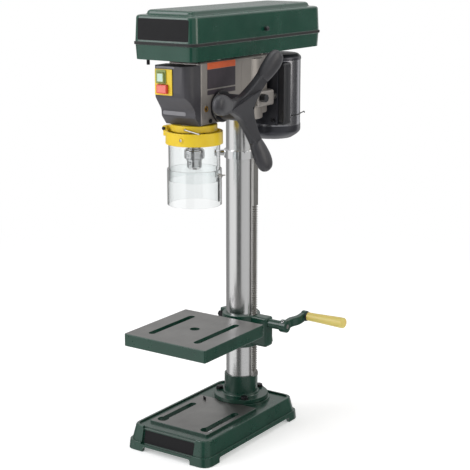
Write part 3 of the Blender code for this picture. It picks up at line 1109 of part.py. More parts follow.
def make_chuck():
    sleeve_top = SLEEVE_LOW + SLEEVE_HEIGHT
    shoulder = SLEEVE_LOW - GAP
    body = turned(SPINDLE_SPIN, "chuck_body", (
        (0, CHUCK_TOP), (CHUCK_LIP, CHUCK_TOP), (CHUCK_LIP, sleeve_top + GAP),
        (CHUCK_BODY_RADIUS, sleeve_top + GAP), (CHUCK_BODY_RADIUS, shoulder),
        (CHUCK_SHOULDER_RADIUS, shoulder), (CHUCK_SHOULDER_RADIUS, shoulder - CHUCK_SHOULDER),
        (CHUCK_NOSE_RADIUS, shoulder - CHUCK_SHOULDER),
        (CHUCK_NOSE_RADIUS, CHUCK_NOSE_LOW + CHUCK_NOSE_TAPER),
        (CHUCK_NOSE_TIP_RADIUS, CHUCK_NOSE_LOW), (0, CHUCK_NOSE_LOW)), SPINDLE_PLACE)
    cut(body, rod(SPINDLE_SPIN, "chuck_socket", SPINDLE_PLACE + Z_AXIS * (SPINDLE_NOSE_LOW - GAP),
                  SPINDLE_PLACE + Z_AXIS * (CHUCK_TOP + OVERRUN), SPINDLE_NOSE + GAP,
                  SMALL_SIDES * 2))
    cut(body, rod(SPINDLE_SPIN, "chuck_mouth", SPINDLE_PLACE + Z_AXIS * (CHUCK_NOSE_LOW - OVERRUN),
                  SPINDLE_PLACE + Z_AXIS * CHUCK_MOUTH_TOP, CHUCK_MOUTH, SMALL_SIDES))
    for index in range(3):
        angle = 90 + 120 * index
        out = around((0, 0), 1, angle)
        slant = Z_AXIS * math.cos(JAW_SLANT) + out * math.sin(JAW_SLANT)
        tip = SPINDLE_PLACE + out * JAW_TIP_AT + Z_AXIS * JAW_TIP_HEIGHT
        pivot = make_pivot(f"jaw_{index + 1}_pivot", SLEEVE_TURN.parent, tip)
        rod(pivot, f"chuck_jaw_{index + 1}", tip, tip + slant * JAW_LENGTH, JAW_RADIUS, SMALL_SIDES)
        cut(body, rod(SPINDLE_SPIN, f"jaw_bore_{index}", tip - slant * OVERRUN,
                      tip + slant * (JAW_LENGTH + GAP), JAW_RADIUS + GAP, SMALL_SIDES))
        key = around((0, SPINDLE_Y), CHUCK_NOSE_RADIUS - KEY_HOLE_DEPTH, angle + 60,
                     shoulder - CHUCK_SHOULDER - KEY_HOLE_RADIUS * 1.5)
        cut(body, rod(SPINDLE_SPIN, f"key_hole_{index}", key,
                      key + around((0, 0), KEY_HOLE_DEPTH + OVERRUN, angle + 60),
                      KEY_HOLE_RADIUS, SMALL_SIDES))
    ring(SLEEVE_TURN, "chuck_sleeve", SLEEVE_INNER, SLEEVE_RADIUS, SLEEVE_LOW, sleeve_top,
         SPINDLE_PLACE)


# The switch cover on the head's front, with its two push buttons
COVER_LEFT = -0.040
COVER_RIGHT = 0.036
COVER_LOW = 0.625
COVER_TOP = 0.735
COVER_FRONT = 0.222
COVER_FRONT_LOW = 0.682
COVER_STEP = 0.201
COVER_STEP_TOP = 0.653
COVER_STEP_LOW = 0.642
COVER_HEEL = 0.187
COVER_CORNER = 0.030
COVER_WALL = 0.004
COVER_ROUNDING = 0.0025
PLATE_LEFT = -0.037
PLATE_RIGHT = 0.0015
PLATE_LOW = 0.682
PLATE_TOP = 0.729
PLATE_THICK = 0.0015
START_LEFT = -0.0294
START_RIGHT = -0.0137
START_LOW = 0.7052
START_TOP = 0.7228
STOP_LEFT = -0.0298
STOP_RIGHT = -0.0071
STOP_LOW = 0.6854
STOP_TOP = 0.7013
BUTTON_PROUD = 0.005
BUTTON_DEPTH = 0.010
BUTTON_PLAY = 0.0004

BUTTONS = (("start_button", START_LEFT, START_RIGHT, START_LOW, START_TOP),
           ("stop_button", STOP_LEFT, STOP_RIGHT, STOP_LOW, STOP_TOP))


def make_switch():
    side = [(-HEAD_FRONT - GAP, COVER_TOP), (-COVER_FRONT, COVER_TOP),
            (-COVER_FRONT, COVER_FRONT_LOW), (-COVER_STEP, COVER_STEP_TOP),
            (-COVER_STEP, COVER_STEP_LOW), (-COVER_HEEL, COVER_LOW),
            (-HEAD_FRONT - GAP, COVER_LOW)]
    middle = (COVER_LEFT + COVER_RIGHT) / 2
    cover = plate(STAND, "switch_cover", side, COVER_RIGHT - COVER_LEFT, (middle, 0, 0),
                  Y_AXIS, Z_AXIS)
    mask_outline = [(COVER_LEFT, -HEAD_FRONT), (COVER_LEFT, -COVER_FRONT)]
    mask_outline += arc((COVER_RIGHT - COVER_CORNER, -COVER_FRONT + COVER_CORNER), COVER_CORNER,
                        -90, 0, 8)
    mask_outline += [(COVER_RIGHT, -HEAD_FRONT)]
    mask = plate(STAND, "cover_mask", mask_outline, COVER_TOP, (0, 0, COVER_TOP), X_AXIS, Y_AXIS)
    combine(cover, mask, "INTERSECT")
    cut(cover, box(STAND, "cover_hollow",
                   (COVER_LEFT + COVER_WALL, -COVER_STEP + COVER_WALL, COVER_STEP_TOP),
                   (COVER_RIGHT - COVER_WALL, -HEAD_FRONT + OVERRUN, COVER_TOP - COVER_WALL)))
    cut(cover, box(STAND, "cover_button_room",
                   (COVER_LEFT + COVER_WALL, -COVER_FRONT + COVER_WALL, COVER_FRONT_LOW),
                   (PLATE_RIGHT, -COVER_STEP + COVER_WALL + OVERRUN, COVER_TOP - COVER_WALL)))
    cut(cover, rod(STAND, "cover_boss_room", SPINDLE_PLACE + Z_AXIS * (COVER_LOW - OVERRUN),
                   SPINDLE_PLACE + Z_AXIS * (HEAD_BOTTOM + HEAD_ROUNDING * 2 + GAP),
                   QUILL_BOSS_RADIUS + GAP))
    face = -COVER_FRONT - GAP
    panel = box(STAND, "switch_plate", (PLATE_LEFT, face - PLATE_THICK, PLATE_LOW),
                (PLATE_RIGHT, face, PLATE_TOP))
    for name, left, right, low, top in BUTTONS:
        pivot = make_pivot(name + "_pivot", STAND, ((left + right) / 2, face, (low + top) / 2))
        box(pivot, name, (left, face - PLATE_THICK - BUTTON_PROUD, low),
            (right, face + BUTTON_DEPTH, top), BUTTON_PLAY * 2)
        hole = ((left - BUTTON_PLAY, face - OVERRUN, low - BUTTON_PLAY),
                (right + BUTTON_PLAY, face + BUTTON_DEPTH, top + BUTTON_PLAY))
        cut(panel, box(STAND, name + "_panel_hole", *hole))
        cut(cover, box(STAND, name + "_cover_hole", *hole))


# The chuck guard: fixed collar, hinged ring, clear shields, wing nut
GUARD_COLLAR_RADIUS = 0.043
GUARD_COLLAR_LOW = 0.612
GUARD_COLLAR_TOP = 0.6245
GUARD_RING_RADIUS = 0.053
GUARD_RING_INNER = 0.0483
GUARD_RING_LOW = 0.588
GUARD_RING_TOP = 0.6117
GUARD_HINGE_X = -0.052
GUARD_HINGE_HEIGHT = 0.614
GUARD_HINGE_Y = -0.166
GUARD_KNUCKLE = 0.010
GUARD_KNUCKLE_RADIUS = 0.0055
GUARD_PIN_RADIUS = 0.002
GUARD_LUG_HALF = 0.0045
GUARD_LUG_LOW = 0.600
UPPER_SHIELD_RADIUS = 0.048
UPPER_SHIELD_WALL = 0.0025
UPPER_SHIELD_LOW = 0.520
UPPER_SHIELD_TOP = 0.598
LOWER_SHIELD_LOW = 0.474
LOWER_SHIELD_TOP = 0.541
LOWER_SHIELD_WALL = 0.0025
SHIELD_TRAVEL = 0.046
WING_ANGLE = 8.4
WING_HEIGHT = 0.531
WING_SCREW = 0.002
WING_HUB = 0.004
WING_HUB_LENGTH = 0.006
WING_SPAN = 0.011
WING_THICK = 0.0012
GUARD_SCREW_X = 0.008
GUARD_SCREW_RADIUS = 0.0045
GUARD_SCREW_PROUD = 0.0025
GUARD_ROD_RADIUS = 0.0015
GUARD_ROD_START = Vector((0.010, -0.191, 0.618))
GUARD_ROD_END = Vector((0.041, -0.1945, 0.6136))

GUARD_HINGE = Vector((GUARD_HINGE_X, GUARD_HINGE_Y, GUARD_HINGE_HEIGHT))
GUARD_FLIP = make_pivot("guard_flip_pivot", STAND, GUARD_HINGE)
SHIELD_SLIDE = make_pivot("shield_slide_pivot", GUARD_FLIP,
                          SPINDLE_PLACE + Z_AXIS * LOWER_SHIELD_LOW)


def knuckle(pivot, name, start, end, radius):
    """A hinge knuckle: a round lump between two places on the hinge's axis."""
    return rod(pivot, name, start, end, radius, SMALL_SIDES)


def make_guard_collar():
    body = rod(STAND, "guard_collar", SPINDLE_PLACE + Z_AXIS * GUARD_COLLAR_LOW,
               SPINDLE_PLACE + Z_AXIS * GUARD_COLLAR_TOP, GUARD_COLLAR_RADIUS)
    half = Y_AXIS * (GUARD_KNUCKLE / 2)
    join(body, box(STAND, "collar_lug",
                   (GUARD_HINGE_X, GUARD_HINGE_Y - GUARD_KNUCKLE / 2, GUARD_HINGE_HEIGHT),
                   (-QUILL_BOSS_RADIUS, GUARD_HINGE_Y + GUARD_KNUCKLE / 2,
                    GUARD_HINGE_HEIGHT + GUARD_KNUCKLE_RADIUS)))
    join(body, knuckle(STAND, "collar_knuckle", GUARD_HINGE - half, GUARD_HINGE + half,
                       GUARD_KNUCKLE_RADIUS))
    join(body, rod(STAND, "guard_rod", GUARD_ROD_START, GUARD_ROD_END, GUARD_ROD_RADIUS, SMALL_SIDES))
    cut(body, rod(STAND, "collar_bore_cut", SPINDLE_PLACE + Z_AXIS * (GUARD_COLLAR_LOW - OVERRUN),
                  SPINDLE_PLACE + Z_AXIS * (GUARD_COLLAR_TOP + OVERRUN), QUILL_BOSS_RADIUS + GAP))
    reach = Y_AXIS * (GUARD_KNUCKLE * 1.5)
    pin_hole = rod(STAND, "guard_pin_hole", GUARD_HINGE - reach * 2, GUARD_HINGE + reach * 2,
                   GUARD_PIN_RADIUS + GAP, SMALL_SIDES)
    cut(body, pin_hole)
    rod(STAND, "guard_pin", GUARD_HINGE - reach, GUARD_HINGE + reach, GUARD_PIN_RADIUS, SMALL_SIDES)


def make_guard_ring():
    body = rod(GUARD_FLIP, "guard_ring", SPINDLE_PLACE + Z_AXIS * GUARD_RING_LOW,
               SPINDLE_PLACE + Z_AXIS * GUARD_RING_TOP, GUARD_RING_RADIUS)
    for side in (-1, 1):
        start = GUARD_HINGE + Y_AXIS * (side * (GUARD_KNUCKLE / 2 + GAP))
        end = start + Y_AXIS * (side * GUARD_KNUCKLE)
        low = min(start.y, end.y)
        join(body, knuckle(GUARD_FLIP, f"ring_knuckle_{side}", start, end, GUARD_KNUCKLE_RADIUS))
        join(body, box(GUARD_FLIP, f"ring_lug_{side}",
                       (GUARD_HINGE_X - GUARD_LUG_HALF, low, GUARD_LUG_LOW),
                       (GUARD_HINGE_X + GUARD_LUG_HALF, low + GUARD_KNUCKLE, GUARD_HINGE_HEIGHT)))
    reach = Y_AXIS * (GUARD_KNUCKLE * 2)
    cut(body, rod(GUARD_FLIP, "ring_pin_hole", GUARD_HINGE - reach, GUARD_HINGE + reach,
                  GUARD_PIN_RADIUS + GAP, SMALL_SIDES))
    cut(body, rod(GUARD_FLIP, "ring_shield_room", SPINDLE_PLACE + Z_AXIS * (GUARD_RING_LOW - OVERRUN),
                  SPINDLE_PLACE + Z_AXIS * (GUARD_RING_TOP + OVERRUN), GUARD_RING_INNER))
    room = Y_AXIS * (GUARD_KNUCKLE / 2 + GAP)
    cut(body, rod(GUARD_FLIP, "ring_knuckle_room", GUARD_HINGE - room, GUARD_HINGE + room,
                  GUARD_KNUCKLE_RADIUS + GAP * 2, SMALL_SIDES))
    front = math.sqrt(GUARD_RING_INNER ** 2 - GUARD_SCREW_X ** 2)
    outer = math.sqrt(GUARD_RING_RADIUS ** 2 - GUARD_SCREW_X ** 2)
    height = (GUARD_RING_LOW + GUARD_RING_TOP) / 2
    join(body, rod(GUARD_FLIP, "guard_screw",
                   (GUARD_SCREW_X, SPINDLE_Y - front - GUARD_SCREW_PROUD, height),
                   (GUARD_SCREW_X, SPINDLE_Y - outer - GUARD_SCREW_PROUD, height),
                   GUARD_SCREW_RADIUS, SMALL_SIDES))


def make_shields():
    upper = ring(GUARD_FLIP, "upper_shield", UPPER_SHIELD_RADIUS - UPPER_SHIELD_WALL,
                 UPPER_SHIELD_RADIUS, UPPER_SHIELD_LOW, UPPER_SHIELD_TOP, SPINDLE_PLACE)
    inner = UPPER_SHIELD_RADIUS + GAP
    outer = inner + LOWER_SHIELD_WALL
    lower = ring(SHIELD_SLIDE, "lower_shield", inner, outer, LOWER_SHIELD_LOW, LOWER_SHIELD_TOP,
                 SPINDLE_PLACE)
    out = around((0, 0), 1, WING_ANGLE)
    centre = SPINDLE_PLACE + Z_AXIS * WING_HEIGHT
    hole = WING_SCREW + GAP
    start = centre + out * (UPPER_SHIELD_RADIUS - UPPER_SHIELD_WALL - GUARD_SCREW_PROUD)
    cut(upper, rod(GUARD_FLIP, "wing_hole", start, centre + out * (outer + OVERRUN), hole, SMALL_SIDES))
    turn = Matrix((out, Z_AXIS.cross(out), Z_AXIS)).transposed()
    cut(lower, box(SHIELD_SLIDE, "shield_slot",
                   centre + Vector((SLEEVE_RADIUS, -hole, -SHIELD_TRAVEL - hole)),
                   centre + Vector((outer + OVERRUN, hole, hole)), turn=turn, about=centre))
    face = centre + out * (outer + GAP)
    end = face + out * WING_HUB_LENGTH
    nut = rod(GUARD_FLIP, "wing_nut", face, end, WING_HUB, SMALL_SIDES)
    join(nut, rod(GUARD_FLIP, "wing_screw",
                  centre + out * (UPPER_SHIELD_RADIUS - UPPER_SHIELD_WALL - GAP),
                  end - out * (WING_HUB_LENGTH / 2), WING_SCREW, SMALL_SIDES))
    join(nut, box(GUARD_FLIP, "wing_blade",
                  face + Vector((WING_HUB_LENGTH / 4, -WING_SPAN, -WING_THICK)),
                  face + Vector((WING_HUB_LENGTH * 1.5, WING_SPAN, WING_THICK)),
                  turn=turn, about=face))


# The belt housing: pan, hinged lid, knob and hinge pin
HOUSING_CORNER = 0.016
PAN_WALL = 0.0025
PAN_INSET = 0.004
PAN_RIM_LOW = 0.770
LID_WALL_TOP = 0.823
LID_BEVEL = 0.017
LID_WALL = 0.003
HINGE_OUT = 0.004
HINGE_KNUCKLE_RADIUS = 0.0034
HINGE_PIN_RADIUS = 0.0015
HINGE_KNUCKLE = 0.020
HINGE_YS = (-0.150, 0.080)
LID_KNOB_Y = -0.021
LID_KNOB_HEIGHT = 0.792
LID_KNOB_RADIUS = 0.006
LID_KNOB_LENGTH = 0.009
PAN_PIN = Vector((-0.044, -0.233, 0.736))
PAN_PIN_RADIUS = 0.003

LID_HINGE = Vector((-HOUSING_HALF - HINGE_OUT, 0, HOUSING_SPLIT + GAP / 2))
LID_OPEN = make_pivot("lid_pivot", STAND, LID_HINGE)


def make_pan():
    pan = tapered_block(STAND, "housing_pan",
                        (-HOUSING_HALF + PAN_INSET * 2, -HOUSING_FRONT + PAN_INSET * 2,
                         HOUSING_BOTTOM),
                        (HOUSING_HALF - PAN_INSET * 2, HOUSING_REAR - PAN_INSET * 2,
                         HOUSING_SPLIT - GAP * 2), (-PAN_INSET,) * 3, HOUSING_CORNER)
    join(pan, tapered_block(STAND, "pan_rim", (-HOUSING_HALF, -HOUSING_FRONT, PAN_RIM_LOW),
                            (HOUSING_HALF, HOUSING_REAR, HOUSING_SPLIT), (0, 0, 0),
                            HOUSING_CORNER))
    inset = PAN_INSET * 2 + PAN_WALL
    cut(pan, tapered_block(STAND, "pan_hollow",
                           (-HOUSING_HALF + inset, -HOUSING_FRONT + inset,
                            HOUSING_BOTTOM + PAN_WALL),
                           (HOUSING_HALF - inset, HOUSING_REAR - inset, HOUSING_SPLIT + OVERRUN),
                           (-PAN_INSET,) * 3, HOUSING_CORNER))
    join(pan, rod(STAND, "pan_pin", PAN_PIN, PAN_PIN + Z_AXIS * (HOUSING_BOTTOM + PAN_WALL / 2
                                                                - PAN_PIN.z),
                  PAN_PIN_RADIUS, SMALL_SIDES))
    floor_low = Z_AXIS * (HOUSING_BOTTOM - OVERRUN)
    floor_top = Z_AXIS * (HOUSING_BOTTOM + PAN_WALL + OVERRUN / 4)
    cut(pan, rod(STAND, "pan_spindle_hole", SPINDLE_PLACE + floor_low, SPINDLE_PLACE + floor_top,
                 PULLEY_SLEEVE_RADIUS + PULLEY_ROOM))
    cut(pan, rod(STAND, "pan_idler_hole", IDLER_PIVOT + floor_low, IDLER_PIVOT + floor_top,
                 IDLER_POST_RADIUS + GAP, SMALL_SIDES))
    shaft_room = MOTOR_SHAFT_RADIUS + PULLEY_ROOM
    slot = slot_outline((0, MOTOR_Y), (0, MOTOR_Y - MOTOR_TRAVEL), shaft_room * 2)
    cut(pan, plate(STAND, "pan_motor_slot", slot, PAN_WALL * 3,
                   (0, 0, HOUSING_BOTTOM + PAN_WALL / 2), X_AXIS, Y_AXIS))
    add_hinge(pan, STAND, "pan", -1, (1, 2))
    return pan


def add_hinge(ob, pivot, name, side, slots):
    """Knuckles and webs at both hinges: slot 0 is the middle knuckle, 1 and 2 the outer ones."""
    for place, hinge_y in enumerate(HINGE_YS):
        for slot in slots:
            low = hinge_y + (-HINGE_KNUCKLE / 2, -HINGE_KNUCKLE, HINGE_KNUCKLE / 2)[slot]
            high = hinge_y + (HINGE_KNUCKLE / 2, -HINGE_KNUCKLE / 2, HINGE_KNUCKLE)[slot]
            start = LID_HINGE + Y_AXIS * (low + GAP / 2)
            end = LID_HINGE + Y_AXIS * (high - GAP / 2)
            join(ob, knuckle(pivot, f"{name}_knuckle_{place}_{slot}", start, end,
                             HINGE_KNUCKLE_RADIUS))
            web = sorted((LID_HINGE.z + side * GAP / 2,
                          LID_HINGE.z + side * HINGE_KNUCKLE_RADIUS))
            join(ob, box(pivot, f"{name}_web_{place}_{slot}", (LID_HINGE.x, start.y, web[0]),
                         (-HOUSING_HALF + LID_WALL / 2, end.y, web[1])))
    cut(ob, rod(pivot, f"{name}_hinge_hole", LID_HINGE - Y_AXIS * HOUSING_FRONT,
                LID_HINGE + Y_AXIS * HOUSING_REAR, HINGE_PIN_RADIUS + GAP, SMALL_SIDES))

# The lid knob's outline: shares of its radius and of its length
LID_KNOB_SHARES = ((0.7, 1), (1, 0.75), (1, 0.4), (0.6, 0.25), (0.6, 0))


def make_lid():
    low = HOUSING_SPLIT + GAP
    lid = tapered_block(LID_OPEN, "lid", (-HOUSING_HALF, -HOUSING_FRONT, low),
                        (HOUSING_HALF, HOUSING_REAR, HOUSING_TOP), (LID_BEVEL,) * 3,
                        HOUSING_CORNER, shoulder=LID_WALL_TOP)
    cut(lid, tapered_block(
        LID_OPEN, "lid_hollow", (-HOUSING_HALF + LID_WALL, -HOUSING_FRONT + LID_WALL, low - OVERRUN),
        (HOUSING_HALF - LID_WALL, HOUSING_REAR - LID_WALL, HOUSING_TOP - LID_WALL),
        (LID_BEVEL,) * 3, HOUSING_CORNER, shoulder=LID_WALL_TOP - LID_WALL / 2))
    add_hinge(lid, LID_OPEN, "lid", 1, (0,))
    knob_at = Vector((HOUSING_HALF + GAP, LID_KNOB_Y, LID_KNOB_HEIGHT))
    turned(LID_OPEN, "lid_knob", (
        (0, LID_KNOB_LENGTH), *[(LID_KNOB_RADIUS * wide, LID_KNOB_LENGTH * out)
                                for wide, out in LID_KNOB_SHARES], (0, 0)),
        knob_at, X_AXIS, SMALL_SIDES)
    first = min(HINGE_YS) - HINGE_KNUCKLE
    last = max(HINGE_YS) + HINGE_KNUCKLE
    rod(STAND, "lid_hinge_pin", LID_HINGE + Y_AXIS * first, LID_HINGE + Y_AXIS * last,
        HINGE_PIN_RADIUS, SMALL_SIDES)


# The belt drive: spindle pulley, idler on its swinging arm, motor pulley, belts
PULLEY_LOW = 0.752
PULLEY_STEP = 0.014
PULLEY_SIDES = 24
GROOVE_DEPTH = 0.005
GROOVE_FLANK = 0.004
SPINDLE_STEPS = (0.030, 0.040, 0.050, 0.058)
IDLER_STEPS = (0.054, 0.046, 0.038, 0.030)
MOTOR_STEPS = (0.020, 0.028, 0.036, 0.044)
FRONT_BELT_STEP = 1
REAR_BELT_STEP = 2
BELT_THICK = 0.0057
PULLEY_SLEEVE_RADIUS = 0.014
PULLEY_SLEEVE_LOW = 0.730
PULLEY_ROOM = 0.004
IDLER_Y = -0.033
IDLER_PIVOT = Vector((0.022, -0.047, 0))
IDLER_POST_RADIUS = 0.005
IDLER_POST_DEPTH = 0.030
IDLER_ARM_HALF = 0.008
IDLER_ARM_THICK = 0.0025
IDLER_AXLE_RADIUS = 0.006
MOTOR_SHAFT_RADIUS = 0.007
MOTOR_SHAFT_LOW = 0.690
MOTOR_TRAVEL = 0.005

PULLEY_TOP = PULLEY_LOW + PULLEY_STEP * len(IDLER_STEPS)
IDLER_PLACE = Vector((0, IDLER_Y, 0))
MOTOR_PLACE = Vector((0, MOTOR_Y, 0))
SPINDLE_PULLEY_SPIN = make_pivot("spindle_pulley_pivot", STAND, SPINDLE_PLACE)
IDLER_SWING = make_pivot("idler_swing_pivot", STAND, IDLER_PIVOT)
IDLER_SPIN = make_pivot("idler_spin_pivot", IDLER_SWING, IDLER_PLACE)
MOTOR_SLIDE = make_pivot("motor_tension_pivot", STAND, (0, HEAD_REAR, SLIDE_HEIGHT))
MOTOR_SPIN = make_pivot("motor_spin_pivot", MOTOR_SLIDE, MOTOR_PLACE)


def step_profile(steps):
    """The outer side of a stepped pulley from top to bottom, with a groove at each step."""
    points = []
    for index in reversed(range(len(steps))):
        low = PULLEY_LOW + PULLEY_STEP * index
        high = low + PULLEY_STEP
        points += [(steps[index], high), (steps[index] - GROOVE_DEPTH, high - GROOVE_FLANK),
                   (steps[index] - GROOVE_DEPTH, low + GROOVE_FLANK), (steps[index], low)]
    return points


def make_pulleys():
    bore = SPINDLE_RADIUS + GAP
    turned(SPINDLE_PULLEY_SPIN, "spindle_pulley", [(bore, PULLEY_TOP)]
           + step_profile(SPINDLE_STEPS)
           + [(PULLEY_SLEEVE_RADIUS, PULLEY_LOW), (PULLEY_SLEEVE_RADIUS, PULLEY_SLEEVE_LOW),
              (bore, PULLEY_SLEEVE_LOW)], SPINDLE_PLACE, sides=PULLEY_SIDES)
    ring(STAND, "pulley_bearing", PULLEY_SLEEVE_RADIUS + GAP, QUILL_RADIUS, PULLEY_SLEEVE_LOW,
         HEAD_TOP, SPINDLE_PLACE, sides=SMALL_SIDES * 2)
    axle_bore = IDLER_AXLE_RADIUS + GAP
    turned(IDLER_SPIN, "idler_pulley", [(axle_bore, PULLEY_TOP)] + step_profile(IDLER_STEPS)
           + [(axle_bore, PULLEY_LOW)], IDLER_PLACE, sides=PULLEY_SIDES)
    shaft_profile = [(0, PULLEY_TOP)] + step_profile(MOTOR_STEPS)
    shaft_profile += [(MOTOR_SHAFT_RADIUS, PULLEY_LOW), (MOTOR_SHAFT_RADIUS, MOTOR_SHAFT_LOW),
                      (0, MOTOR_SHAFT_LOW)]
    turned(MOTOR_SPIN, "motor_pulley", shaft_profile, MOTOR_PLACE, sides=PULLEY_SIDES)


def make_idler_arm():
    low = HOUSING_BOTTOM + PAN_WALL + GAP
    middle = low + IDLER_ARM_THICK / 2
    outline = slot_outline(IDLER_PIVOT.xy.to_3d(), IDLER_PLACE.xy.to_3d(), IDLER_ARM_HALF * 2)
    arm = plate(IDLER_SWING, "idler_arm", outline, IDLER_ARM_THICK, (0, 0, middle), X_AXIS,
                Y_AXIS)
    join(arm, rod(IDLER_SWING, "idler_axle", IDLER_PLACE + Z_AXIS * middle,
                  IDLER_PLACE + Z_AXIS * (PULLEY_TOP - GAP), IDLER_AXLE_RADIUS, SMALL_SIDES))
    join(arm, rod(IDLER_SWING, "idler_post",
                  IDLER_PIVOT + Z_AXIS * (HEAD_TOP - IDLER_POST_DEPTH),
                  IDLER_PIVOT + Z_AXIS * middle, IDLER_POST_RADIUS, SMALL_SIDES))


def belt_outline(first, first_radius, second, second_radius):
    """An open belt's line around two pulleys that lie along Y."""
    distance = second.y - first.y
    lean = math.degrees(math.asin((first_radius - second_radius) / distance))
    return (arc(first.xy, first_radius, 180 - lean, 360 + lean, BELT_TURN_STEPS)
            + arc(second.xy, second_radius, lean, 180 - lean, BELT_TURN_STEPS))


def make_belt(name, first, first_step, second, second_step, step):
    inner = [radius - GROOVE_DEPTH + GAP * 2 for radius in (first_step, second_step)]
    outer = [radius + BELT_THICK for radius in inner]
    tall = PULLEY_STEP - GROOVE_FLANK * 2 - GAP * 2
    at = (0, 0, PULLEY_LOW + PULLEY_STEP * (step + 0.5))
    belt = plate(STAND, name, belt_outline(first, outer[0], second, outer[1]), tall, at, X_AXIS,
                 Y_AXIS)
    cut(belt, plate(STAND, name + "_inside", belt_outline(first, inner[0], second, inner[1]),
                    tall + OVERRUN, at, X_AXIS, Y_AXIS))


# The motor: plate with its two slide rods, body, terminal box
MOTOR_PLATE_HALF = 0.053
MOTOR_PLATE_FRONT = 0.0465
MOTOR_PLATE_THICK = 0.0035
MOTOR_PLATE_LOW = 0.600
MOTOR_PLATE_TOP = 0.722
SLIDE_ROD_FRONT = 0.020
MOTOR_RIM_LOW = 0.581
MOTOR_RIM_DROP = 0.006
MOTOR_DOME_RADIUS = 0.040
MOTOR_SHOULDER = 0.006
MOTOR_FOOT_LOW = 0.615
MOTOR_FOOT_TOP = 0.705
TERMINAL_LEFT = 0.020
TERMINAL_RIGHT = 0.066
TERMINAL_REAR = 0.077
TERMINAL_ROUNDING = 0.003


def make_motor():
    plate_rear = MOTOR_PLATE_FRONT + MOTOR_PLATE_THICK
    body = turned(MOTOR_SLIDE, "motor_body", (
        (0, MOTOR_TOP), (MOTOR_RADIUS - MOTOR_SHOULDER, MOTOR_TOP),
        (MOTOR_RADIUS, MOTOR_TOP - MOTOR_SHOULDER), (MOTOR_RADIUS, MOTOR_RIM_LOW),
        (MOTOR_RADIUS - MOTOR_SHOULDER, MOTOR_RIM_LOW - MOTOR_RIM_DROP),
        (MOTOR_DOME_RADIUS, MOTOR_BOTTOM), (0, MOTOR_BOTTOM)), MOTOR_PLACE)
    foot_rear = MOTOR_Y - MOTOR_RADIUS / 2
    join(body, box(MOTOR_SLIDE, "motor_foot", (-MOTOR_PLATE_HALF + GAP, plate_rear + GAP,
                                              MOTOR_FOOT_LOW),
                   (TERMINAL_LEFT - GAP, foot_rear, MOTOR_FOOT_TOP)))
    cut(body, rod(MOTOR_SLIDE, "motor_shaft_hole", MOTOR_PLACE + Z_AXIS * (MOTOR_SHAFT_LOW - GAP),
                  MOTOR_PLACE + Z_AXIS * (MOTOR_TOP + OVERRUN), MOTOR_SHAFT_RADIUS + GAP,
                  SMALL_SIDES * 2))
    carrier = box(MOTOR_SLIDE, "motor_plate",
                  (-MOTOR_PLATE_HALF, MOTOR_PLATE_FRONT, MOTOR_PLATE_LOW),
                  (MOTOR_PLATE_HALF, plate_rear, MOTOR_PLATE_TOP))
    for side in (-1, 1):
        join(carrier, rod(MOTOR_SLIDE, f"slide_rod_{side}",
                          (side * SLIDE_X, -SLIDE_ROD_FRONT, SLIDE_HEIGHT),
                          (side * SLIDE_X, plate_rear - MOTOR_PLATE_THICK / 2, SLIDE_HEIGHT),
                          SLIDE_RADIUS, SMALL_SIDES))
    shroud = box(MOTOR_SLIDE, "terminal_box", (TERMINAL_LEFT, plate_rear + GAP, MOTOR_PLATE_LOW),
                 (TERMINAL_RIGHT, TERMINAL_REAR, MOTOR_PLATE_TOP), TERMINAL_ROUNDING)
    cut(shroud, rod(MOTOR_SLIDE, "terminal_room", MOTOR_PLACE + Z_AXIS * (MOTOR_PLATE_LOW - OVERRUN),
                    MOTOR_PLACE + Z_AXIS * (MOTOR_PLATE_TOP + OVERRUN), MOTOR_RADIUS + GAP))


# Finishes: colour, metallic, roughness
GREEN = ((0.012, 0.075, 0.035, 1), 0.0, 0.25)
IRON = ((0.45, 0.45, 0.44, 1), 1.0, 0.38)
CHROME = ((0.80, 0.80, 0.80, 1), 1.0, 0.10)
STEEL = ((0.55, 0.55, 0.55, 1), 1.0, 0.30)
DARK_STEEL = ((0.10, 0.10, 0.10, 1), 1.0, 0.40)
BLACK = ((0.010, 0.010, 0.011, 1), 0.0, 0.45)
RUBBER = ((0.015, 0.015, 0.015, 1), 0.0, 0.80)
YELLOW = ((0.86, 0.56, 0.02, 1), 0.0, 0.35)
SILVER = ((0.50, 0.52, 0.54, 1), 0.6, 0.40)
ALUMINIUM = ((0.60, 0.61, 0.62, 1), 1.0, 0.35)
CLEAR = ((0.90, 0.93, 0.93, 1), 0.0, 0.05)
GREEN_BUTTON = ((0.02, 0.35, 0.10, 1), 0.0, 0.35)
RED = ((0.60, 0.02, 0.02, 1), 0.0, 0.35)

FINISHES = (
    (GREEN, ("base", "column_flange", "table_bracket", "table", "crank_arm", "housing_pan",
             "lid")),
    (CHROME, ("column", "chuck_sleeve")),
    (STEEL, ("rack", "rack_ring", "crank_shaft", "crank_set_screw", "gear_pin", "tilt_bolt", "clamp_lever",
             "feed_shaft", "quill", "quill_bearing_lower", "quill_bearing_upper", "spindle",
             "pulley_bearing", "chuck_body", "chuck_jaw_1", "chuck_jaw_2", "chuck_jaw_3",
             "flange_bolt_1", "flange_bolt_2", "flange_bolt_3", "head_set_screw",
             "quill_guide_screw", "wing_nut", "lid_hinge_pin", "guard_pin")),
    (IRON, ("elevating_gear",)),
    (DARK_STEEL, ("grip_pin", "motor_plate")),
    (BLACK, ("star_handle", "depth_stop", "switch_cover", "terminal_box", "tension_knob",
             "lid_knob", "return_spring_cap")),
    (RUBBER, ("front_belt", "rear_belt")),
    (YELLOW, ("crank_grip", "switch_plate", "guard_collar", "guard_ring")),
    (SILVER, ("motor_body", "head_casting")),
    (ALUMINIUM, ("spindle_pulley", "idler_pulley", "motor_pulley", "idler_arm")),
    (CLEAR, ("upper_shield", "lower_shield")),
    (GREEN_BUTTON, ("start_button",)),
    (RED, ("stop_button",)),
)
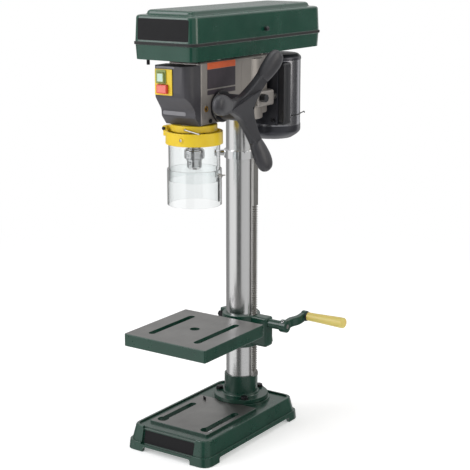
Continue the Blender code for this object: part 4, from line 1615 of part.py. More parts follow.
SHARP_ANGLE = math.radians(30)


def finish_parts():
    """Give every sub-part its own material and smooth shading between its sharp edges."""
    for (colour, metallic, roughness), names in FINISHES:
        for name in names:
            ob = PARTS.objects[name]
            material = bpy.data.materials.new(name + "_finish")
            material.use_nodes = True
            shader = material.node_tree.nodes["Principled BSDF"]
            shader.inputs["Base Color"].default_value = colour
            shader.inputs["Metallic"].default_value = metallic
            shader.inputs["Roughness"].default_value = roughness
            material.diffuse_color = colour
            ob.data.materials.append(material)
            if ob.data.polygons:
                ob.data.shade_smooth()
                ob.data.set_sharp_from_angle(angle=SHARP_ANGLE)


def main():
    make_base()
    make_column()
    make_rack_ring()
    make_rack()
    make_elevating_gear()
    make_crank()
    make_bracket()
    make_clamp()
    make_table()
    make_head()
    make_spring_cap()
    make_tension_knob()
    make_feed()
    make_star_handle()
    make_quill()
    make_spindle()
    make_chuck()
    make_switch()
    make_guard_collar()
    make_guard_ring()
    make_shields()
    make_pan()
    make_lid()
    make_pulleys()
    make_idler_arm()
    make_belt("front_belt", SPINDLE_PLACE, SPINDLE_STEPS[FRONT_BELT_STEP], IDLER_PLACE,
              IDLER_STEPS[FRONT_BELT_STEP], FRONT_BELT_STEP)
    make_belt("rear_belt", IDLER_PLACE, IDLER_STEPS[REAR_BELT_STEP], MOTOR_PLACE,
              MOTOR_STEPS[REAR_BELT_STEP], REAR_BELT_STEP)
    make_motor()
    finish_parts()


main()
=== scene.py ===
"""Benchtop drill press: every shown piece in full detail over the CAD frame.

Metres, +Z up.
"""
import json
import math

import bmesh
import bpy
from mathutils import Matrix, Vector

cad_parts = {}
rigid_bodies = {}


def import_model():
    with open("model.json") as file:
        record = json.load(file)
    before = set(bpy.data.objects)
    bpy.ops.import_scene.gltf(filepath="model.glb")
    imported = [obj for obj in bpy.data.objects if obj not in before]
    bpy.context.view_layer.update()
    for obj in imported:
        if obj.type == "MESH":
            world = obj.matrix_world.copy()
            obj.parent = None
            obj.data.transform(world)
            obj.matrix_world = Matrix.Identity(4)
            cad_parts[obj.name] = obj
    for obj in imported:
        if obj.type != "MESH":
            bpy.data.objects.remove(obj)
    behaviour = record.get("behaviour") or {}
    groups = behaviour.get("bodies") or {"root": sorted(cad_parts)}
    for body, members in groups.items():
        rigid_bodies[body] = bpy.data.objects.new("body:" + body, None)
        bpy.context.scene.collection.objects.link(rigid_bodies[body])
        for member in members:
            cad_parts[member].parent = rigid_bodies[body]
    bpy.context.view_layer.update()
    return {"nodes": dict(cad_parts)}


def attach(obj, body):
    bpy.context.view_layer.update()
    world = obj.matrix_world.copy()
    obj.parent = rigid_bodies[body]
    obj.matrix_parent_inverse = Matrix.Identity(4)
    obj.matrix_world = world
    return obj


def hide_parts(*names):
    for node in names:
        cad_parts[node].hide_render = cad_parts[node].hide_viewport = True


for old in list(bpy.data.objects):
    bpy.data.objects.remove(old)
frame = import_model()
COLUMN_FOOT = Vector((-0.055, 0.03515, 0))
X, Y, Z = Vector((1, 0, 0)), Vector((0, 1, 0)), Vector((0, 0, 1))
SPINDLE = Vector((0, -0.1554, 0))
FEED = Vector((0, -0.125, 0.656))


# Camera and studio

def unit(azimuth, elevation=0.0):
    """The direction from the machine towards a place round it, azimuth 0 being its front."""
    a, e = math.radians(azimuth), math.radians(elevation)
    return Vector((math.sin(a) * math.cos(e), -math.cos(a) * math.cos(e), math.sin(e)))


camera = bpy.data.objects.new("camera", bpy.data.cameras.new("camera"))
bpy.context.scene.collection.objects.link(camera)
camera.data.lens = 97.76
camera.data.sensor_width = 36
camera.data.clip_end = 60
camera.location = (1.31906, -2.00557, 0.96270)
camera.rotation_euler = (-unit(34.24, 13.25)).to_track_quat("-Z", "Y").to_euler()
bpy.context.scene.camera = camera
bpy.context.scene.view_settings.view_transform = "Standard"


def linear(code):
    """A colour written as sRGB hex, as the shader wants it."""
    parts = [int(code[i:i + 2], 16) / 255 for i in (1, 3, 5)]
    return [p / 12.92 if p < 0.04045 else ((p + 0.055) / 1.055) ** 2.4 for p in parts] + [1.0]


def add(tree, kind, settings=None, links=None):
    """A node with its settings and the links into it."""
    node = tree.nodes.new("ShaderNode" + kind)
    for key, value in (settings or {}).items():
        if isinstance(key, int) or key in node.inputs:
            node.inputs[key].default_value = value
        else:
            setattr(node, key, value)
    for key, source in (links or {}).items():
        tree.links.new(source, node.inputs[key])
    return node


def light(name, place, towards, size, watts, colour="#ffffff"):
    """A soft box lamp."""
    lamp = bpy.data.objects.new(name, bpy.data.lights.new(name, "AREA"))
    lamp.data.shape = "RECTANGLE"
    lamp.data.size, lamp.data.size_y = size
    lamp.data.energy = watts
    lamp.data.color = linear(colour)[:3]
    lamp.location = place
    lamp.rotation_euler = (Vector(towards) - Vector(place)).to_track_quat("-Z", "Y").to_euler()
    bpy.context.scene.collection.objects.link(lamp)


light("left_box", unit(-35, 32) * 3.2, (0, 0, 0.45), (1.6, 2.2), 42, "#fdfbff")
light("right_box", unit(112, 25) * 3.4, (0, 0, 0.45), (1.3, 2.2), 26, "#fffaf2")
light("top_box", (0, -0.4, 3.2), (0, 0, 0.4), (2.2, 2.2), 26)

world = bpy.data.worlds.new("white_studio")
bpy.context.scene.world = world
world.use_nodes = True
sky = world.node_tree
ray = add(sky, "LightPath")
seen = add(sky, "Math", {"operation": "MAXIMUM"}, {0: ray.outputs["Is Camera Ray"],
                                                  1: ray.outputs["Is Transmission Ray"]})
seen = add(sky, "Math", {"operation": "MAXIMUM"}, {0: seen.outputs[0],
                                                  1: ray.outputs["Is Glossy Ray"]})
level = add(sky, "MapRange", {"To Min": 0.5, "To Max": 1.0}, {"Value": seen.outputs[0]})
backdrop = sky.nodes["Background"]
backdrop.inputs["Color"].default_value = (1, 1, 1, 1)
sky.links.new(level.outputs[0], backdrop.inputs["Strength"])


def stage_material(name, colour):
    """A plain stage surface that starts as a rough white one."""
    made = bpy.data.materials.new(name)
    made.use_nodes = True
    shader = made.node_tree.nodes["Principled BSDF"]
    shader.inputs["Base Color"].default_value = linear(colour)
    shader.inputs["Roughness"].default_value = 0.9
    return made, made.node_tree, shader


def mirrored(tree):
    """1 on rays that polished metal has mirrored, 0 on all others."""
    bounces = add(tree, "LightPath").outputs["Glossy Depth"]
    return add(tree, "Math", {"operation": "GREATER_THAN", 1: 0.5}, {0: bounces}).outputs[0]


def stage_floor():
    """The bench: a wide white sheet that keeps the machine's shadow, and that metal overlooks."""
    bm = bmesh.new()
    bmesh.ops.create_circle(bm, cap_ends=True, segments=64, radius=12)
    mesh = bpy.data.meshes.new("floor")
    bm.to_mesh(mesh)
    floor = bpy.data.objects.new("floor", mesh)
    bpy.context.scene.collection.objects.link(floor)
    floor.location.z = -0.0006
    made, tree, shader = stage_material("white_paper", "#f4f4f4")
    place = add(tree, "TexCoord")
    away = add(tree, "VectorMath", {"operation": "LENGTH"}, {0: place.outputs["Object"]})
    far = add(tree, "MapRange", {"interpolation_type": "SMOOTHSTEP", "From Min": 0.45,
                                 "From Max": 1.9}, {"Value": away.outputs["Value"]})
    glow = add(tree, "MapRange", {"To Min": 0.34, "To Max": 1.0}, {"Value": far.outputs[0]})
    dark = add(tree, "Mix", {"data_type": "RGBA", 6: linear("#f4f4f4"), 7: (0, 0, 0, 1)},
               {"Factor": far.outputs[0]})
    tree.links.new(dark.outputs[2], shader.inputs["Base Color"])
    tree.links.new(glow.outputs[0], shader.inputs["Emission Strength"])
    shader.inputs["Emission Color"].default_value = (1, 1, 1, 1)
    shader.inputs["Specular IOR Level"].default_value = 0.0
    passed = add(tree, "MixShader", {}, {0: mirrored(tree), 1: shader.outputs[0],
                                         2: add(tree, "BsdfTransparent").outputs[0]})
    tree.links.new(passed.outputs[0], tree.nodes["Material Output"].inputs["Surface"])
    mesh.materials.append(made)


def stage_screens():
    """The ring of pale and dark studio screens that polished metal mirrors.

    Only mirrored rays see it, also those that then pass a clear shield, while a shield in front
    of the backdrop shows plain white. It reaches below the floor, because the camera looks down and
    upright metal mirrors what lies under its horizon. The stops are degrees round from the
    camera, and the brightness there. Above head height it is pale all round, as a canopy.
    """
    stops = ((-180, 0.30), (-108, 0.30), (-96, 0.95), (-40, 1.0), (-33, 0.10), (-5, 0.10),
             (3, 0.62), (60, 0.66), (72, 0.22), (120, 0.10), (128, 1.0), (140, 1.0), (150, 0.26),
             (180, 0.30))
    bm = bmesh.new()
    bmesh.ops.create_cone(bm, cap_ends=False, segments=96, radius1=4.5, radius2=4.5, depth=6.9)
    bmesh.ops.translate(bm, vec=(0, 0, 0.95), verts=bm.verts)
    mesh = bpy.data.meshes.new("screens")
    bm.to_mesh(mesh)
    screens = bpy.data.objects.new("screens", mesh)
    bpy.context.scene.collection.objects.link(screens)
    made, tree, shader = stage_material("studio_screen", "#000000")
    place = add(tree, "TexCoord")
    part = add(tree, "SeparateXYZ", {}, {0: place.outputs["Object"]})
    back = add(tree, "Math", {"operation": "MULTIPLY", 1: -1.0}, {0: part.outputs["Y"]})
    turn = add(tree, "Math", {"operation": "ARCTAN2"}, {0: part.outputs["X"], 1: back.outputs[0]})
    turn = add(tree, "Math", {"operation": "SUBTRACT", 1: math.radians(34.24 - 180)},
               {0: turn.outputs[0]})
    turn = add(tree, "Math", {"operation": "DIVIDE", 1: math.tau}, {0: turn.outputs[0]})
    turn = add(tree, "Math", {"operation": "FRACT"}, {0: turn.outputs[0]})
    ramp = add(tree, "ValToRGB", {}, {0: turn.outputs[0]})
    elements = ramp.color_ramp.elements
    elements.remove(elements[1])
    elements[0].color = (stops[0][1],) * 3 + (1,)
    for degrees, grey in stops[1:]:
        elements.new((degrees + 180) / 360).color = (grey, grey, grey, 1)
    upper = add(tree, "MapRange", {"interpolation_type": "SMOOTHSTEP", "From Min": 1.15,
                                   "From Max": 1.60}, {"Value": part.outputs["Z"]})
    shade = add(tree, "Mix", {"data_type": "RGBA", 7: linear("#f0f0f0")},
                {0: upper.outputs[0], 6: ramp.outputs[0]})
    shown = add(tree, "Mix", {"data_type": "RGBA", 6: (1, 1, 1, 1)},
                {0: mirrored(tree), 7: shade.outputs[2]})
    tree.links.new(shown.outputs[2], shader.inputs["Emission Color"])
    shader.inputs["Emission Strength"].default_value = 1.0
    shader.inputs["Specular IOR Level"].default_value = 0.0
    mesh.materials.append(made)
    screens.visible_camera = screens.visible_diffuse = screens.visible_shadow = False
    screens.visible_volume_scatter = False


stage_floor()
stage_screens()


# Finishes

def surface(name, colour, roughness, metallic=0.0, **sockets):
    """A named real material: its principled shader, and the object's own coordinates."""
    made = bpy.data.materials.new(name)
    made.use_nodes = True
    tree = made.node_tree
    shader = tree.nodes["Principled BSDF"]
    settings = {"Base Color": linear(colour), "Roughness": roughness, "Metallic": metallic}
    settings.update({key.replace("_", " "): value for key, value in sockets.items()})
    for key, value in settings.items():
        shader.inputs[key].default_value = value
    return made, tree, shader, add(tree, "TexCoord").outputs["Object"]


def relief(tree, shader, height, depth, strength=1.0):
    """Bump of a real depth in metres from a height between 0 and 1."""
    bump = add(tree, "Bump", {"Distance": depth, "Strength": strength}, {"Height": height})
    tree.links.new(bump.outputs[0], shader.inputs["Normal"])


def mottle(tree, shader, factor, dark, pale, socket="Base Color"):
    """The socket runs between two values, colours or numbers, as the factor does."""
    if socket == "Base Color":
        mix = add(tree, "Mix", {"data_type": "RGBA", 6: linear(dark), 7: linear(pale)}, {0: factor})
        tree.links.new(mix.outputs[2], shader.inputs[socket])
    else:
        mix = add(tree, "MapRange", {"To Min": dark, "To Max": pale}, {"Value": factor})
        tree.links.new(mix.outputs[0], shader.inputs[socket])


def grain(tree, coords, size, detail=2.0, stretch=(1, 1, 1)):
    """Noise whose lumps are about a size in metres, stretched along an axis."""
    mapping = add(tree, "Mapping", {"Scale": [1 / s for s in stretch]}, {"Vector": coords})
    noise = add(tree, "TexNoise", {"Scale": 1 / size, "Detail": detail},
                {"Vector": mapping.outputs[0]})
    return noise.outputs[0]


# Stove enamel on sheet steel: deep green, glossy, with the faint orange peel of a sprayed coat
SHEET_ENAMEL, tree, shader, coords = surface("stove_enamel_sheet", "#123a30", 0.24, 0.0,
                                             Coat_Weight=0.25, Coat_Roughness=0.1)
mottle(tree, shader, grain(tree, coords, 0.06), "#08382b", "#0d4434")
mottle(tree, shader, grain(tree, coords, 0.03, 3), 0.18, 0.32, "Roughness")
relief(tree, shader, grain(tree, coords, 0.0026, 1), 0.00003)

# The same enamel over sand-cast iron: the casting's skin shows through as soft dimples
CAST_ENAMEL, tree, shader, coords = surface("enamelled_cast_iron", "#0f382b", 0.27, 0.0,
                                            Coat_Weight=0.2, Coat_Roughness=0.12)
mottle(tree, shader, grain(tree, coords, 0.05), "#052e23", "#0b3e2f")
mottle(tree, shader, grain(tree, coords, 0.02, 3), 0.2, 0.4, "Roughness")
relief(tree, shader, grain(tree, coords, 0.0045, 4), 0.00016)

# Ground cast iron: bare dark grey metal, oiled, with grinding lines a millimetre apart at most
GROUND_IRON, tree, shader, coords = surface("ground_cast_iron", "#6d6b6a", 0.36, 0.9)
lines = grain(tree, coords, 0.0011, 2, (1, 40, 1))
mottle(tree, shader, grain(tree, coords, 0.045, 4), "#6b6a69", "#8d8c8a")
mottle(tree, shader, lines, 0.28, 0.44, "Roughness")
relief(tree, shader, lines, 0.00002)

# Chromed tube: polished, with the hair-fine rings that centreless grinding leaves
CHROME_TUBE, tree, shader, coords = surface("ground_chromed_tube", "#d6d6d6", 0.11, 1.0)
rings = grain(tree, coords, 0.0007, 1, (60, 60, 1))
mottle(tree, shader, rings, 0.17, 0.27, "Roughness")
relief(tree, shader, rings, 0.000004)

# Polished chrome of the chuck and small bright trim
CHROME, tree, shader, coords = surface("polished_chrome", "#dcdcdd", 0.07, 1.0)
mottle(tree, shader, grain(tree, coords, 0.01, 3), 0.05, 0.14, "Roughness")

# Bright steel: turned or rolled, satin, as racks, shafts and pins are
BRIGHT_STEEL, tree, shader, coords = surface("bright_drawn_steel", "#b4b3b0", 0.3, 1.0)
mottle(tree, shader, grain(tree, coords, 0.012, 4), "#a3a19e", "#c3c2bf")
mottle(tree, shader, grain(tree, coords, 0.0012, 3), 0.22, 0.4, "Roughness")
relief(tree, shader, grain(tree, coords, 0.0009, 2), 0.000008)

# Black oxide on the hexagon bolts and socket screws
BLACK_OXIDE, tree, shader, coords = surface("black_oxide_steel", "#1d1d1f", 0.38, 0.7)
mottle(tree, shader, grain(tree, coords, 0.003, 3), "#151517", "#2b2b2e")

# Glass-filled nylon of the handle's arms: near black, satin, fine moulded grain
NYLON, tree, shader, coords = surface("glass_filled_nylon", "#28282c", 0.4)
mottle(tree, shader, grain(tree, coords, 0.02, 3), "#242428", "#2f2f34")
relief(tree, shader, grain(tree, coords, 0.0007, 2), 0.00003)

# Soft rubber moulded over the grips: greyer and duller than the arms
GRIP_RUBBER, tree, shader, coords = surface("overmoulded_rubber", "#2e2e32", 0.42)
mottle(tree, shader, grain(tree, coords, 0.015, 3), "#29292d", "#343438")
relief(tree, shader, grain(tree, coords, 0.0009, 2), 0.00004)

# Charcoal ABS of the switch cover, with a spark-eroded texture
CHARCOAL_ABS, tree, shader, coords = surface("textured_abs_charcoal", "#3b3a3e", 0.42)
mottle(tree, shader, grain(tree, coords, 0.03, 2), "#363539", "#424146")
relief(tree, shader, grain(tree, coords, 0.0008, 3), 0.00005)

# Black ABS of the terminal box, knobs and spring cap
BLACK_ABS, tree, shader, coords = surface("moulded_abs_black", "#1b1c20", 0.35)
mottle(tree, shader, grain(tree, coords, 0.02, 2), "#17181b", "#222328")
relief(tree, shader, grain(tree, coords, 0.0010, 2), 0.00003)

# Yellow ABS: guard ring and switch plate, glossy from the mould
YELLOW_ABS, tree, shader, coords = surface("moulded_abs_yellow", "#e6bb12", 0.3)
mottle(tree, shader, grain(tree, coords, 0.02, 2), "#dfbc17", "#e8ca28")

# Yellow PVC of the crank's grip: paler, with a waxy depth
YELLOW_PVC, tree, shader, coords = surface("turned_pvc_yellow", "#d5bf45", 0.36, 0.0,
                                           Subsurface_Weight=0.15, Subsurface_Scale=0.004)
mottle(tree, shader, grain(tree, coords, 0.012, 3, (6, 1, 1)), "#cdb95a", "#dbcb7a")

# Clear polycarbonate of the shields: thin, hard and glossy
POLYCARBONATE, tree, shader, coords = surface("clear_polycarbonate", "#fbfdfd", 0.02, 0.0, IOR=1.58,
                                              Transmission_Weight=1.0)
mottle(tree, shader, grain(tree, coords, 0.03, 2), 0.0, 0.035, "Roughness")

# Aluminium paint over the head casting: warm silver grey, a little metallic flake
SILVER_PAINT, tree, shader, coords = surface("aluminium_paint", "#9a9590", 0.4, 0.55,
                                             Coat_Weight=0.25, Coat_Roughness=0.2)
mottle(tree, shader, grain(tree, coords, 0.0006, 1), "#8f8a86", "#a5a09b")
mottle(tree, shader, grain(tree, coords, 0.03, 3), 0.33, 0.46, "Roughness")
relief(tree, shader, grain(tree, coords, 0.003, 3), 0.00006)

# The motor's drawn steel shell: smooth silver lacquer that mirrors the studio in long streaks
MOTOR_SHELL, tree, shader, coords = surface("lacquered_motor_shell", "#8c8c91", 0.2, 0.95)
mottle(tree, shader, grain(tree, coords, 0.02, 3), 0.16, 0.26, "Roughness")
relief(tree, shader, grain(tree, coords, 0.004, 2), 0.00002)

# Dark lacquer on the motor's end bells and mounting plate
DARK_LACQUER, tree, shader, coords = surface("dark_lacquer", "#33343a", 0.28, 0.5)
mottle(tree, shader, grain(tree, coords, 0.01, 3), "#2d2e33", "#3b3c43")
relief(tree, shader, grain(tree, coords, 0.003, 3), 0.00005)

# Die-cast aluminium of the pulleys: pale, grainy, turned bright in the grooves
DIE_CAST, tree, shader, coords = surface("die_cast_aluminium", "#bdbdbf", 0.36, 0.95)
mottle(tree, shader, grain(tree, coords, 0.004, 3), "#b0b0b2", "#c8c8ca")
relief(tree, shader, grain(tree, coords, 0.0012, 3), 0.00002)

# Belt rubber with its cloth jacket: black, dull, a weave of about a millimetre
BELT_RUBBER, tree, shader, coords = surface("jacketed_belt_rubber", "#1c1c1c", 0.7)
relief(tree, shader, grain(tree, coords, 0.001, 1), 0.00012)

# Brass of the oiler boss
BRASS, tree, shader, coords = surface("machined_brass", "#b58c45", 0.28, 1.0)
mottle(tree, shader, grain(tree, coords, 0.004, 3), "#a07a38", "#c69d55")

# Printed polyester labels without any print: an orange band and a dark field
ORANGE_FILM, tree, shader, coords = surface("polyester_film_orange", "#c4612f", 0.35)
mottle(tree, shader, grain(tree, coords, 0.01, 2), "#dc5a26", "#e66832")
DARK_FILM, tree, shader, coords = surface("polyester_film_dark", "#3a343b", 0.35)
mottle(tree, shader, grain(tree, coords, 0.01, 2), "#352f36", "#423b43")
BLACK_FILM, tree, shader, coords = surface("polyester_film_black", "#0e0e10", 0.6, 0.0,
                                           Specular_IOR_Level=0.2)
mottle(tree, shader, grain(tree, coords, 0.01, 2), "#0c0c0e", "#131315")

# Push buttons: glossy ABS caps, green and red, and white ABS
GREEN_ABS, tree, shader, coords = surface("moulded_abs_green", "#3fa77b", 0.25)
mottle(tree, shader, grain(tree, coords, 0.006, 2), "#38a073", "#4ab387")
RED_ABS, tree, shader, coords = surface("moulded_abs_red", "#d8493a", 0.25)
mottle(tree, shader, grain(tree, coords, 0.006, 2), "#cf4032", "#e05646")
WHITE_ABS, tree, shader, coords = surface("moulded_abs_white", "#ecece8", 0.3)
mottle(tree, shader, grain(tree, coords, 0.006, 2), "#e6e6e2", "#f2f2ee")

OLIVE_ABS, tree, shader, coords = surface("moulded_abs_olive", "#8d9b52", 0.3)
mottle(tree, shader, grain(tree, coords, 0.006, 2), "#85934b", "#97a55c")
# Pale green and rose faces laid on the button caps: painted highlight, the glare on the glossy caps.
MINT_PAINTED_HIGHLIGHT, tree, shader, coords = surface("moulded_abs_pale_green", "#c2dccb", 0.25)
mottle(tree, shader, grain(tree, coords, 0.006, 2), "#bad5c4", "#cce4d5")
ROSE_PAINTED_HIGHLIGHT, tree, shader, coords = surface("moulded_abs_rose", "#e2776a", 0.25)
mottle(tree, shader, grain(tree, coords, 0.006, 2), "#dc6f62", "#e98377")
# Pale grey ABS: the strip on the cover's lower step, and also a painted highlight along the top of
# the cover's front.
PALE_ABS_AND_PAINTED_HIGHLIGHT, tree, shader, coords = surface("moulded_abs_grey", "#77777b", 0.35)
mottle(tree, shader, grain(tree, coords, 0.01, 2), "#717175", "#7f7f83")


# How shapes are made

def shape(name, bm, at=(0, 0, 0), along=None, side=None):
    """Stores a bmesh as a piece. Its Z is laid along a direction, and its X towards a side."""
    if along is not None:
        up = Vector(along).normalized()
        across = Vector(side) if side is not None else (X if abs(up.x) < 0.9 else Y)
        across = (across - up * across.dot(up)).normalized()
        turn = Matrix((across, up.cross(across), up)).transposed()
        bmesh.ops.transform(bm, matrix=turn.to_4x4(), verts=bm.verts)
    bmesh.ops.translate(bm, vec=Vector(at), verts=bm.verts)
    mesh = bpy.data.meshes.new(name)
    bm.to_mesh(mesh)
    bm.free()
    ob = bpy.data.objects.new(name, mesh)
    bpy.context.scene.collection.objects.link(ob)
    return ob


def eased(points, radius, closed=False, steps=3):
    """The outline with each corner replaced by a small arc. A point may state its own radius."""
    count = len(points)
    made = []
    for i, point in enumerate(points):
        here = Vector(point[:2])
        reach = point[2] if len(point) > 2 else radius
        if not reach or (not closed and i in (0, count - 1)):
            made.append(here)
            continue
        before, after = Vector(points[i - 1][:2]) - here, Vector(points[(i + 1) % count][:2]) - here
        if before.length < 1e-7 or after.length < 1e-7 or before.angle(after) > 3.0:
            made.append(here)
            continue
        reach = min(reach, before.length * 0.49, after.length * 0.49)
        start, end = here + before.normalized() * reach, here + after.normalized() * reach
        for step in range(steps + 1):
            t = step / steps
            made.append(start * (1 - t) ** 2 + here * 2 * t * (1 - t) + end * t ** 2)
    return made


def lathe(name, profile, at=(0, 0, 0), along=(0, 0, 1), sides=96, ease=0.0006, closed=False):
    """A turned piece from (radius, height) points, its corners eased."""
    bm = bmesh.new()
    rings = []
    for radius, height in eased(profile, ease, closed):
        if radius < 1e-6:
            rings.append([bm.verts.new((0, 0, height))])
        else:
            rings.append([bm.verts.new((radius * math.cos(math.tau * k / sides),
                                        radius * math.sin(math.tau * k / sides), height))
                          for k in range(sides)])
    for low, high in zip(rings, rings[1:] + (rings[:1] if closed else [])):
        for k in range(sides):
            around = (low[k % len(low)], low[(k + 1) % sides % len(low)],
                      high[(k + 1) % sides % len(high)], high[k % len(high)])
            corners = list(dict.fromkeys(around))
            if len(corners) > 2 and not (closed and low is high):
                bm.faces.new(corners)
    bmesh.ops.recalc_face_normals(bm, faces=bm.faces)
    return shape(name, bm, at, along)


def bar(name, start, end, radius, ease=0.0005, sides=48, end_radius=None):
    """A round bar between two places, its ends eased."""
    start, end = Vector(start), Vector(end)
    length = (end - start).length
    last = radius if end_radius is None else end_radius
    profile = ((0, 0), (radius, 0), (last, length), (0, length))
    return lathe(name, profile, start, end - start, sides, ease)


def tube(name, inner, outer, low, high, at=(0, 0, 0), along=(0, 0, 1), sides=96, ease=0.0005):
    """A ring or tube between two heights."""
    profile = ((inner, low), (outer, low), (outer, high), (inner, high))
    return lathe(name, profile, at, along, sides, ease, closed=True)


def block(name, low, high, ease=0.001, at=None, along=None, side=None):
    """A box between two corners with eased edges."""
    low, high = Vector(low), Vector(high)
    bm = bmesh.new()
    bmesh.ops.create_cube(bm, size=1)
    bmesh.ops.scale(bm, vec=high - low, verts=bm.verts)
    bmesh.ops.translate(bm, vec=(low + high) / 2, verts=bm.verts)
    if ease:
        bmesh.ops.bevel(bm, geom=bm.edges[:], offset=ease, segments=3, profile=0.5,
                        affect="EDGES", clamp_overlap=True)
    return shape(name, bm, at or (0, 0, 0), along, side)


def slab(name, outline, low, high, ease=0.001, at=(0, 0, 0), along=(0, 0, 1), side=None,
         top=(1, 1), shift=(0, 0)):
    """A prism over an outline. Its top may be drawn in by shares and shifted, as a taper."""
    bm = bmesh.new()
    face = bm.faces.new([bm.verts.new((p[0], p[1], low)) for p in outline])
    made = bmesh.ops.extrude_face_region(bm, geom=[face])["geom"]
    for vert in (g for g in made if isinstance(g, bmesh.types.BMVert)):
        vert.co = (vert.co.x * top[0] + shift[0], vert.co.y * top[1] + shift[1], high)
    bmesh.ops.recalc_face_normals(bm, faces=bm.faces)
    if ease:
        rims = [e for e in bm.edges if abs(e.verts[0].co.z - e.verts[1].co.z) < 1e-6]
        bmesh.ops.bevel(bm, geom=rims, offset=ease, segments=3, profile=0.5, affect="EDGES",
                        clamp_overlap=True)
    return shape(name, bm, at, along, side)


def rectangle(low, high, corner=0.0, steps=8):
    """A rectangle's outline with round corners."""
    points = [(low[0], low[1]), (high[0], low[1]), (high[0], high[1]), (low[0], high[1])]
    return eased(points, corner, True, steps)


def slot_line(start, end, width, eye=0.0, steps=12):
    """A slot's outline with round ends, and an eye at its far end for a keyhole."""
    start, end = Vector(start), Vector(end)
    way = math.atan2(end.y - start.y, end.x - start.x)
    half, reach = width / 2, eye or width / 2
    neck = math.asin(half / reach)
    turns = [(start, half, way + math.pi / 2 + math.pi * k / steps) for k in range(steps + 1)]
    turns += [(end, reach, way - math.pi + neck + (math.tau - 2 * neck) * k / (steps * 2))
              for k in range(steps * 2 + 1)] if eye else [
        (end, half, way - math.pi / 2 + math.pi * k / steps) for k in range(steps + 1)]
    return [(c.x + r * math.cos(a), c.y + r * math.sin(a)) for c, r, a in turns]


def bake(ob):
    """The object's modifiers become its mesh."""
    bpy.context.view_layer.update()
    graph = bpy.context.evaluated_depsgraph_get()
    mesh = bpy.data.meshes.new_from_object(ob.evaluated_get(graph))
    ob.modifiers.clear()
    ob.data = mesh
    return ob


def combine(ob, operation, tools):
    """Booleans with the exact solver, applied, and the tools removed."""
    for tool in tools:
        modifier = ob.modifiers.new(tool.name, "BOOLEAN")
        modifier.operation = operation
        modifier.solver = "EXACT"
        modifier.object = tool
    bake(ob)
    for tool in tools:
        bpy.data.objects.remove(tool)
    return ob


def fuse(ob, *tools):
    """Melts the tools into a piece, as one casting."""
    return combine(ob, "UNION", tools)


def carve(ob, *tools):
    """Takes the tools away from a piece."""
    return combine(ob, "DIFFERENCE", tools)


def gather(name, *pieces):
    """One piece from several that stay separate lumps."""
    bm = bmesh.new()
    for piece in pieces:
        bm.from_mesh(piece.data)
        bpy.data.objects.remove(piece)
    return shape(name, bm)


def ease_edges(ob, width, angle=28, segments=2):
    """Rounds the edges sharper than an angle, and keeps the flats flat."""
    bevel = ob.modifiers.new("eased", "BEVEL")
    bevel.width, bevel.segments = width, segments
    bevel.limit_method, bevel.angle_limit = "ANGLE", math.radians(angle)
    bevel.use_clamp_overlap = True
    return bake(ob)


def finish(ob, body, material, slot, *nodes, crease=38, inlaid=None):
    """Closes what a cut left open, smooths the shading and hangs a piece on its body."""
    bm = bmesh.new()
    bm.from_mesh(ob.data)
    bmesh.ops.remove_doubles(bm, verts=bm.verts, dist=1e-7)
    bmesh.ops.delete(bm, geom=[e for e in bm.edges if not e.link_faces], context="EDGES")
    bmesh.ops.holes_fill(bm, edges=[e for e in bm.edges if e.is_boundary], sides=0)
    bmesh.ops.translate(bm, vec=COLUMN_FOOT, verts=bm.verts)
    for face in bm.faces:
        face.smooth = True
    for edge in bm.edges:
        edge.smooth = len(edge.link_faces) == 2 and edge.calc_face_angle(0) < math.radians(crease)
    bm.to_mesh(ob.data)
    bm.free()
    ob.data.materials.clear()
    ob.data.materials.append(material)
    if inlaid is not None:
        second, chosen = inlaid
        ob.data.materials.append(second)
        for polygon in ob.data.polygons:
            if chosen(polygon.center - COLUMN_FOOT, polygon.normal):
                polygon.material_index = 1
    normals = ob.modifiers.new("flat_faces", "WEIGHTED_NORMAL")
    normals.keep_sharp = True
    bake(ob)
    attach(ob, body)
    if nodes:
        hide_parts(*nodes)
    return ob


def paint(material, *names):
    """A CAD node that keeps its shape gets its real finish."""
    for name in names:
        mesh = frame["nodes"][name].data
        mesh.materials.clear()
        mesh.materials.append(material)


# The stand

def hexagon(flats):
    """A hexagon's outline across its flats."""
    reach = flats / 2 / math.cos(math.pi / 6)
    return [(reach * math.cos(math.pi * k / 3), reach * math.sin(math.pi * k / 3))
            for k in range(6)]


def hex_bolt(name, at, along, flats, height, shank, length, washer=0.0):
    """A hexagon bolt seated at a place: chamfered head, turned shank, a washer if it has one."""
    at, along = Vector(at), Vector(along).normalized()
    head = slab(name, hexagon(flats), washer, washer + height, 0.0002, at, along)
    reach = flats / 2
    combine(head, "INTERSECT", [lathe(name + "_chamfer", (
        (0, washer - 0.001), (reach * 1.2, washer - 0.001), (reach * 1.2, washer + height * 0.72),
        (reach * 0.93, washer + height), (0, washer + height)), at, along, 48, 0.0002)])
    parts = [head, bar(name + "_shank", at - along * length, at + along * (washer + height / 2),
                       shank, 0.0004, 24)]
    if washer:
        parts.append(tube(name + "_washer", shank, reach * 1.22, 0, washer, at, along, 48, 0.0002))
    return gather(name, *parts)


def socket_screw(name, at, along, radius, length, flats, proud=0.0):
    """A headless screw with a hexagon socket in its end."""
    at, along = Vector(at), Vector(along).normalized()
    body = bar(name, at - along * length, at + along * proud, radius, 0.0004, 32)
    return carve(body, slab(name + "_socket", hexagon(flats), -0.0035, 0.001, 0,
                            at + along * proud, along))


def place_round(radius, degrees, height=0.0):
    """A place on a circle about the column."""
    a = math.radians(degrees)
    return Vector((radius * math.cos(a), radius * math.sin(a), height))


